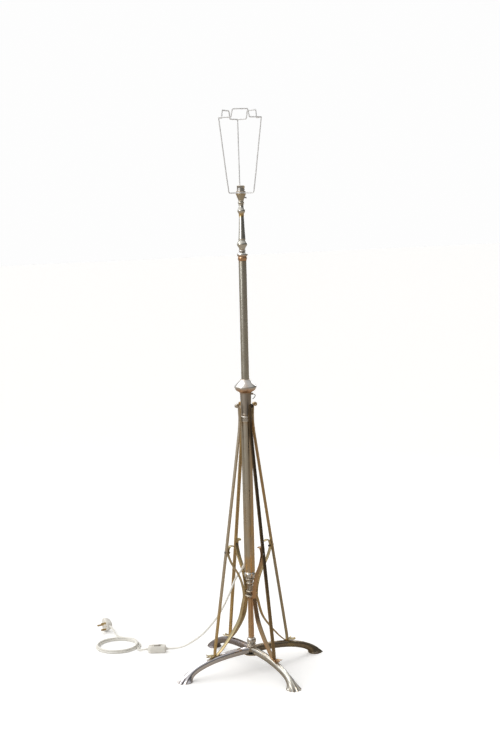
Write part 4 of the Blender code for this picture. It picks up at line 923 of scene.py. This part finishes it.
def make_stays(finish):
    """Four stays with scrolled tops and four bowed braces with leaf-shaped tails."""
    scroll = []
    steps = 60
    for k in range(1, steps + 1):
        share = k / steps
        reach = SCROLL_RADIUS * (1 - 0.75 * share)
        turn = math.radians(180 - SCROLL_TURN * share)
        x = SCROLL_CENTRE[0] + reach * math.cos(turn)
        z = SCROLL_CENTRE[1] + reach * math.sin(turn)
        scroll.append((x, z, 4.8 - 2.5 * share, 9.4 - 1.6 * share))
    stations = planar(STAY_POINTS, 8)[:-1] + planar(scroll, 1)
    brace_stations = planar(BRACE_POINTS, 7)
    for side, angle in LEG_ANGLES.items():
        mesh = sweep(f"stay_bar_{side}", stations, bar)
        mesh.transform(spin(angle))
        # Each stay takes its own lit tone of the plate: painted light and shade.
        stand_in(add(f"stay_bar_{side}", mesh), f"stay_{side}", finish[f"stay_{side}"])
        strip = add(f"brace_strip_{side}", sweep("strip", brace_stations, bar))
        prongs = []
        for hand in (-1, 1):
            points = smooth([(x, hand * y, z, t, w) for x, z, y, t, w in PRONG_POINTS], 6)
            points = [[value * MM for value in point] for point in points]
            prongs.append(add(f"prong_{hand}", sweep("prong", points, oval, side=None)))
        joined(strip, prongs)
        moved(strip, spin(angle))
        # The front-right brace takes a warmer copy of the brace finish: painted reflection.
        material = finish["brace_warm_reflection" if side == "front_right" else "brace"]
        stand_in(strip, f"brace_{side}", material)


# ---- sliding tube and head


def make_upper(finish):
    """The polished sliding tube and the turned pieces on it, up to the gallery cup."""
    outer = 12.3 * MM
    top, low = top_of("inner_tube"), low_of("inner_tube")
    foot = low + 3 * MM
    tube = [(outer - 0.2 * MM, top), (outer, top - 0.2 * MM)]
    tube += [(outer, foot + share * (top - foot)) for share in (0.96, 0.75, 0.5, 0.25, 0.0)]
    tube += in_mm([(14.1, 3), (14.1, 0)], low)
    stand_in(spindle("sliding_tube", tube, 10.8 * MM, 80), "inner_tube", finish["pewter"])

    cap = [(9.3, 0), (9.3, -0.7), *bead(10.8, -3.5, 2.6, 9.2), (8.8, -6.8), (8.8, -7.6)]
    dome = [(9.4, -8.2), (12.8, -9.8), (16.2, -12.8), (17, -15.6), (16.4, -18.4), (14.6, -20.6)]
    cap += smooth(dome, 6)
    cap += [(13.4, -21.2), (13.2, -21.8)]
    cap += smooth([(13.5, -22.2), (14.3, -25), (14.1, -29), (13.2, -32.4)], 5)
    cap += [(12.6, -33.2), (12.6, -35)]
    cap = spindle("turned_cap", in_mm(cap, top_of("tube_cap")), FLEX_WAY)
    stand_in(cap, "tube_cap", finish["cap"])

    shaft = [(7.7, 0), (8.6, -0.6), (8.6, -1.6), (7.7, -2.2), *bead(10.1, -6, 3.5, 7.8, 14)]
    shaft += [(7.6, -10.2), *bead(8.9, -12.4, 1.6, 7.6)]
    shaft += smooth([(7.4, -15), (7.8, -19), (9.4, -24), (11.7, -28.6), (12.3, -31.4)], 6)
    shaft += smooth([(12.2, -32.2), (11.0, -35.4), (9.0, -39), (7.8, -42.4)], 6)
    shaft += bead(8.7, -44.6, 1.3, 7.6)
    shaft += smooth([(7.7, -47), (8.2, -62), (9.2, -88), (10.5, -110), (10.9, -118)], 10)
    shaft += bead(11.7, -120.4, 1.3, 10.6)
    shaft += smooth([(10.7, -122.4), (13.0, -127), (15.6, -131.6), (16.2, -134.8)], 6)
    shaft += smooth([(16.1, -135.6), (14.6, -139.6), (11.4, -144.4), (9.4, -148.4)], 6)
    shaft += [(9.4, -151)]
    shaft = spindle("turned_baluster", in_mm(shaft, top_of("baluster")), FLEX_WAY)
    stand_in(shaft, "baluster", finish["baluster"])

    top = top_of("gallery_cup")
    cup = [(3.5, -8.2), (11.6, -8.2), (12.4, -6.4), (14.4, -0.5), (14.8, 0), (15.6, 0)]
    cup += [(16, -0.4), (16, -2.2), (15.6, -2.7), (14.9, -3)]
    cup += smooth([(14.7, -3.6), (13.5, -7.4), (11.9, -11.6), (10.0, -16), (8.8, -19)], 6)
    cup += [(8.3, -19.6), (8.3, -21.5), (3.5, -21.5)]
    stand_in(lathe("cone_cup", in_mm(cup, top)), "gallery_cup", finish["champagne"])
    screw = [(0, 9), (1.6, 9), (2.3, 8.4), (2.3, 5.6), (1.8, 5), (1.2, 4.6), (1.2, 0), (0, 0)]
    thumb = lathe("cup_thumbscrew", in_mm(screw), 24)
    moved(thumb, spin(CATCH_ANGLE) @ shift(8.5 * MM, 0, top - 12.7 * MM) @ spin(90, "Y"))
    stand_in(thumb, "cup_screw", finish["dark_steel"])


def make_lampholder(finish):
    """The bayonet lampholder, its insulator and the knurled shade ring."""
    top = top_of("lampholder_body")
    foot = top_of("gallery_cup") - 7.8 * MM
    shell = [(11.1, -0.5), (11.4, 0), (12, 0), (12.4, -0.5), (12.4, -1.4), (12, -1.9), (12, -10.6)]
    shell += bead(12.4, -12, 0.9, 12, 6)
    shell = in_mm(shell, top) + in_mm([(12, 0.4), (11.6, 0), (11.1, 0)], foot)
    holder = lathe("holder_shell", shell, 96)
    slots = []
    for angle in (CATCH_ANGLE - 40, CATCH_ANGLE + 140):
        slots.append(block("slot", (6, 2.6, 18), 0.4, spin(angle) @ shift(12 * MM, 0, top)))
        way = spin(angle + 11) @ shift(12 * MM, 0, top - 7.7 * MM)
        slots.append(block("hook", (6, 5.7, 2.6), 0.4, way))
    joined(holder, slots, "DIFFERENCE")
    stand_in(holder, "lampholder_body", finish["nickel"])
    floor = top - 31 * MM
    block_profile = [(0, 0), (10.2, 0), (11.05, -0.8), (11.05, -4.5), (0, -4.5)]
    insulator = lathe("contact_block", in_mm(block_profile, floor))
    holes = []
    for angle in (CATCH_ANGLE, CATCH_ANGLE + 180):
        hole = lathe("contact_hole", in_mm([(0, 4), (2.75, 4), (2.75, -9), (0, -9)]), 32)
        hole.matrix_world = shift(*polar(5 * MM, angle, floor))
        holes.append(hole)
    extra(joined(insulator, holes, "DIFFERENCE"), "lampholder_body", finish["bakelite"])

    def knurl(radius, height, turn):
        return radius - 0.45 * MM * (radius > 14 * MM and math.cos(40 * turn) > 0)

    ring = [(12.3, 4), (13.2, 4), (14.1, 3.6), (14.6, 3.1)]
    ring += [(14.6, 0.9), (14.1, 0.4), (13.2, 0), (12.3, 0)]
    ring = lathe("knurled_ring", in_mm(ring, low_of("shade_ring")), 160, knurl)
    stand_in(ring, "shade_ring", finish["nickel"])


CARRIER_ANGLES = (62.9, 182.9, 302.9)
CARRIER_WIRE = 1.9 * MM
CARRIER_FOOT = 45 * MM
CARRIER_TOP = 75.5 * MM
CARRIER_HEIGHT = 229 * MM
CARRIER_SIDE_BOW = 10 * MM
CARRIER_STEP = 24.9 * MM


def make_carrier(finish):
    """The shade carrier: seat ring, three bent wires and the castellated top wire."""
    seat = low_of("carrier_seat_ring") + CARRIER_WIRE
    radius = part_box("carrier_seat_ring")[1].x - CARRIER_WIRE
    turns = [math.radians(90 - 15 * k) for k in range(24)]
    section = [(radius + CARRIER_WIRE * math.cos(t), seat + CARRIER_WIRE * math.sin(t)) for t in turns]
    stand_in(lathe("seat_ring", section, 96), "carrier_seat_ring", finish["wire"])
    low = seat + CARRIER_HEIGHT
    lean = (CARRIER_TOP - CARRIER_FOOT) / CARRIER_HEIGHT
    bend = 6 * MM
    path = [(radius + 0.6 * CARRIER_WIRE, seat), (0.5 * (radius + CARRIER_FOOT), seat)]
    for k in range(9):
        turn = math.radians(-90 + 82 * k / 8)
        path.append((CARRIER_FOOT - bend + bend * math.cos(turn), seat + bend + bend * math.sin(turn)))
    for share in (0.25, 0.5, 0.75):
        rise = share * CARRIER_HEIGHT
        path.append((CARRIER_FOOT + lean * rise, seat + rise))
    path.append((CARRIER_TOP - 0.6 * MM * lean, low - 0.6 * MM))
    for number, angle in enumerate(CARRIER_ANGLES, 1):
        points = [polar(x, angle, z) for x, z in path]
        rod = wire(f"carrier_rod_{number}", points, CARRIER_WIRE, sides=5)
        stand_in(rod, f"carrier_wire_{number}", finish["wire"])
    corners = [polar(CARRIER_TOP, angle) for angle in CARRIER_ANGLES]
    half_side = [(0.015, 0), (0.05, 0), (0.12, 0), (0.2, 0), (0.262, 0), (0.282, 0.05)]
    half_side += [(0.29, 0.18), (0.315, 0.82), (0.323, 0.95), (0.343, 1), (0.42, 1), (0.5, 1)]
    outline = []
    for number, corner in enumerate(corners):
        following = corners[(number + 1) % len(corners)]
        outward = (corner + following).normalized()
        for share, step in half_side + [(1 - share, step) for share, step in reversed(half_side[:-1])]:
            point = corner.lerp(following, share) + outward * CARRIER_SIDE_BOW * 4 * share * (1 - share)
            outline.append((point.x, point.y, low + step * CARRIER_STEP))
    closed = smooth(outline + outline[:1], 3)[:-1]
    crown = wire("carrier_crown", closed, CARRIER_WIRE, closed=True, sides=5)
    stand_in(crown, "carrier_top_ring", finish["wire"])


# ---- flex, switch and plug


def make_switch(finish):
    """The inline switch: two half shells, end collars and a ribbed lever."""
    there = switch_matrix()
    size_x, size_y, size_z = SWITCH_SIZE
    bm = bmesh.new()
    bmesh.ops.create_cube(bm, size=1, matrix=Matrix.Diagonal((size_x, size_y, size_z, 1)))
    upright = [e for e in bm.edges if abs(e.verts[0].co.z - e.verts[1].co.z) > 0.5 * size_z]
    bevel(bm, upright, 9 * MM, 10)
    flat = [e for e in bm.edges if abs(e.verts[0].co.z - e.verts[1].co.z) < 1e-6]
    bevel(bm, [e for e in flat if e.calc_face_angle(0) > 0.5], 3.4 * MM, 5)
    case = add("switch_case", finish_mesh("switch_case", bm))
    case.matrix_world = middle = there @ shift(0, 0, 0.5 * size_z)
    top = there @ shift(0, 0, size_z)
    seam = block("seam", (70, 40, 0.5), 0.1, middle, 1)
    core = block("core", (size_x / MM - 1.6, size_y / MM - 1.6, 4), 1.5, middle, 2)
    joined(seam, [core], "DIFFERENCE")
    cuts = [block("pocket", (24, 14, 18), 1.2, top), block("tray", (34, 19, 3), 1.4, top), seam]
    joined(case, cuts, "DIFFERENCE")
    moved(case, middle)
    case.matrix_world = Matrix.Identity(4)
    stand_in(case, "switch_body", finish["plastic"])
    profile = [(3.3, 5), (4.2, 5), (4.6, 4.4), (4.2, 3.6), (4.6, 2.8)]
    profile += [(4.3, 2), (5.2, 1), (5.6, -1), (3.3, -1)]
    pieces = []
    for number, hand in enumerate((-1, 1), 1):
        collar = lathe(f"switch_collar_{number}", in_mm(profile), 32)
        moved(collar, there @ shift(hand * size_x / 2, 0, SWITCH_AXIS) @ spin(90 * hand, "Y"))
        pieces.append(extra(collar, "switch_body", finish["plastic"]))
    half, width, depth = 11 * MM, 12 * MM, 5.5 * MM
    rise = half * math.tan(math.radians(LEVER_TILT))
    bm = bmesh.new()
    outline = []
    for k in range(41):
        x = half * (k / 20 - 1)
        wave = 0.5 + 0.5 * math.cos(2 * math.pi * abs(x) / (2.4 * MM))
        ribs = 0.45 * MM * wave * (2 * MM < abs(x) < half - 1 * MM)
        outline.append((x, 0.6 * MM + abs(x) / half * (rise - 0.6 * MM) + ribs))
    outline += [(half, rise - depth), (0, -depth), (-half, rise - depth)]
    rings = [[bm.verts.new((x, y, z)) for x, z in outline] for y in (-width / 2, width / 2)]
    loft(bm, rings)
    lever = add("switch_lever", finish_mesh("switch_lever", bm, 25))
    moved(lever, top @ spin(LEVER_TILT, "Y"))
    pieces.append(stand_in(lever, "switch_rocker", finish["lever"]))
    return [case, *pieces]


def make_plug(finish):
    """The three-pin plug: a rounded case with a grip, a fuse cover and three pins."""
    depth, _, width = PLUG_SIZE
    centre = Vector((*PLUG_CENTRE, 0.1 * MM + width / 2))
    edge = [(-22, 0), (-21.4, 7), (-17, 13), (-8, 19), (2, 23.2)]
    outline = smooth(edge + [(11, 23.4), (18, 18), (21.6, 9), (22, 0)], 6)
    full = outline + [(y, -z) for y, z in reversed(outline[1:-1])]
    layers = [(-12, 0.93), (-11.6, 0.975), (-10.8, 1.0), (-3, 1.0), (-2, 0.985), (-1.2, 0.985)]
    layers += [(-0.4, 0.96), (4, 0.9), (8.5, 0.8), (10.8, 0.7), (11.7, 0.6), (12, 0.5)]
    bm = bmesh.new()
    rings = []
    for x, share in layers:
        rings.append([bm.verts.new((x * MM, y * share * MM, z * share * MM)) for y, z in full])
    loft(bm, rings)
    case = add("plug_case", finish_mesh("plug_case", bm, 30))
    face = shift(-depth / 2)
    groove = block("groove", (1.2, 8, 24), 0.3, face @ shift(0, 0.5 * MM), 2)
    island = block("island", (3, 6.8, 22.8), 0.3, face @ shift(0, 0.5 * MM), 2)
    joined(groove, [island], "DIFFERENCE")
    screw_hole = lathe("screw_hole", in_mm([(0, 1), (2.6, 1), (2.6, -1.4), (0, -1.4)]), 32)
    screw_hole.matrix_world = face @ shift(0, -14.5 * MM) @ spin(90, "Y")
    joined(case, [groove, screw_hole], "DIFFERENCE")
    moved(case, shift(*centre))
    pieces = [stand_in(case, "plug_body", finish["plastic"])]
    head = lathe("plug_screw", in_mm([(0, 0.8), (1.5, 0.8), (2.2, 0.3), (2.2, -0.6), (0, -0.6)]), 24)
    driver = block("driver", (5, 0.7, 0.8), 0.05, shift(0, 0, 0.8 * MM), 1)
    joined(head, [driver], "DIFFERENCE")
    moved(head, shift(*centre) @ face @ shift(0.8 * MM, -14.5 * MM) @ spin(-90, "Y"))
    pieces.append(extra(head, "plug_body", finish["brass"]))
    boot = [(3.3, 6), (4.3, 6), (4.6, 5.4), (4.3, 4.6), (4.8, 3.6), (4.5, 2.8)]
    boot += [(5.4, 1.6), (6.4, -2), (3.3, -2)]
    guard = lathe("plug_boot", in_mm(boot), 32)
    moved(guard, shift(*centre) @ shift(0, -20 * MM) @ spin(90, "X"))
    pieces.append(extra(guard, "plug_body", finish["plastic"]))
    for name in ("earth", "live", "neutral"):
        low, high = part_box(f"plug_pin_{name}")
        pin = add(f"plug_blade_{name}", rounded_box("blade", high - low, 0.7 * MM))
        moved(pin, shift(*(low + high) / 2))
        pieces.append(stand_in(pin, f"plug_pin_{name}", finish["brass"]))
    return pieces


def make_flex(finish):
    """The mains flex in one length, from the gland to the plug."""
    flex = wire("mains_flex", flex_route(), FLEX_RADIUS, sides=5)
    flex.data.materials.append(finish["sheath"])
    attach(flex, "root")
    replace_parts(flex, "flex_to_switch", "flex_to_coil", "flex_coil", "flex_to_plug")


def finish_inner_nodes(finish):
    """Finishes for the small and inner CAD nodes that stay as they are."""
    for side in LEG_ANGLES:
        for node in (f"leg_screw_{side}", f"brace_screw_{side}"):
            frame["nodes"][node].material_slots[0].material = finish["dark_steel"]
    kinds = {
        "tie_rod": "dark_steel",
        "tie_nut": "dark_steel",
        "catch_pin": "dark_steel",
        "friction_bush": "brass",
        "contact_plunger_1": "brass",
        "contact_plunger_2": "brass",
        "flex_in_tube": "sheath",
    }
    for node, kind in kinds.items():
        frame["nodes"][node].material_slots[0].material = finish[kind]


# ---- studio


FLOOR_SEEN = (0.93, 0.93, 0.925)
FLOOR_MIRRORED = (0.40, 0.35, 0.29)
FLOOR_GLOW = 0.235
FLOOR_REACH = 30


def make_floor():
    """A wide pale floor, which the metal mirrors in a darker, warmer tone."""
    bm = bmesh.new()
    signs = ((-1, -1), (1, -1), (1, 1), (-1, 1))
    bm.faces.new([bm.verts.new((x * FLOOR_REACH, y * FLOOR_REACH, 0)) for x, y in signs])
    floor = add("studio_floor", finish_mesh("studio_floor", bm))
    s = Finish("pale_floor")
    path = s.node("ShaderNodeLightPath").outputs
    s.set(
        Roughness=0.95,
        Specular_IOR_Level=0.1,
        Base_Color=s.mix(path["Is Glossy Ray"], FLOOR_SEEN, FLOOR_MIRRORED),
        Emission_Color=(1, 1, 1, 1),
        Emission_Strength=s.math("MULTIPLY", path["Is Camera Ray"], FLOOR_GLOW),
    )
    floor.data.materials.append(s.material)


def make_surround():
    """The world: plain white behind the lamp, and a soft studio with a dark side for the metal."""
    world = bpy.data.worlds.new("surround")
    bpy.context.scene.world = world
    world.use_nodes = True
    s = Shading(world.node_tree, "Generated")
    left = s.along(polar(1, CAMERA_TURN + 180))
    left = s.spread(left, -0.45, 0.75, 0.09, 0.62, "SMOOTHSTEP")
    top = s.spread(s.along((0, 0, 1)), 0.25, 0.85, 0.0, 0.42, "SMOOTHSTEP")
    studio = s.tree.nodes["Background"]
    s.put(studio.inputs["Strength"], s.math("ADD", left, top))
    studio.inputs["Color"].default_value = (1.0, 0.985, 0.965, 1)
    plain = s.node("ShaderNodeBackground", {"Color": (0.985, 0.985, 0.985, 1)})
    camera_ray = s.node("ShaderNodeLightPath").outputs["Is Camera Ray"]
    sides = {"Fac": camera_ray, 1: studio.outputs[0], 2: plain.outputs[0]}
    choice = s.node("ShaderNodeMixShader", sides)
    s.put(s.tree.nodes["World Output"].inputs["Surface"], choice.outputs[0])


def make_lights():
    """A soft overhead light from the left and two soft boxes for the highlights."""
    sun = bpy.data.lights.new("overhead", "SUN")
    sun.energy = 0.9
    sun.angle = math.radians(60)
    box = add("overhead", sun)
    box.matrix_world = spin(CAMERA_TURN - 40) @ spin(-32, "Y")
    for name, angle, height, distance, size, power in (
        ("key", CAMERA_TURN + 218, 1.9, 2.6, 0.8, 16),
        ("back", CAMERA_TURN + 65, 2.2, 2.6, 0.8, 12),
    ):
        lamp = bpy.data.lights.new(name, "AREA")
        lamp.shape = "RECTANGLE"
        lamp.size = size
        lamp.size_y = 2 * size
        lamp.energy = power
        box = add(name, lamp)
        place = polar(distance, angle, height)
        aim = Vector((0, 0, 0.9)) - place
        box.matrix_world = shift(*place) @ aim.to_track_quat("-Z", "Y").to_matrix().to_4x4()
    bpy.context.scene.view_settings.view_transform = "Standard"


def main():
    """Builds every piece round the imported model."""
    make_camera()
    finish = make_materials()
    pieces = make_switch(finish) + make_plug(finish)
    make_flex(finish)
    make_legs(finish)
    make_lower_column(finish)
    make_column(finish)
    make_catch(finish)
    make_stays(finish)
    make_upper(finish)
    make_lampholder(finish)
    make_carrier(finish)
    finish_inner_nodes(finish)
    make_floor()
    make_surround()
    make_lights()


main()
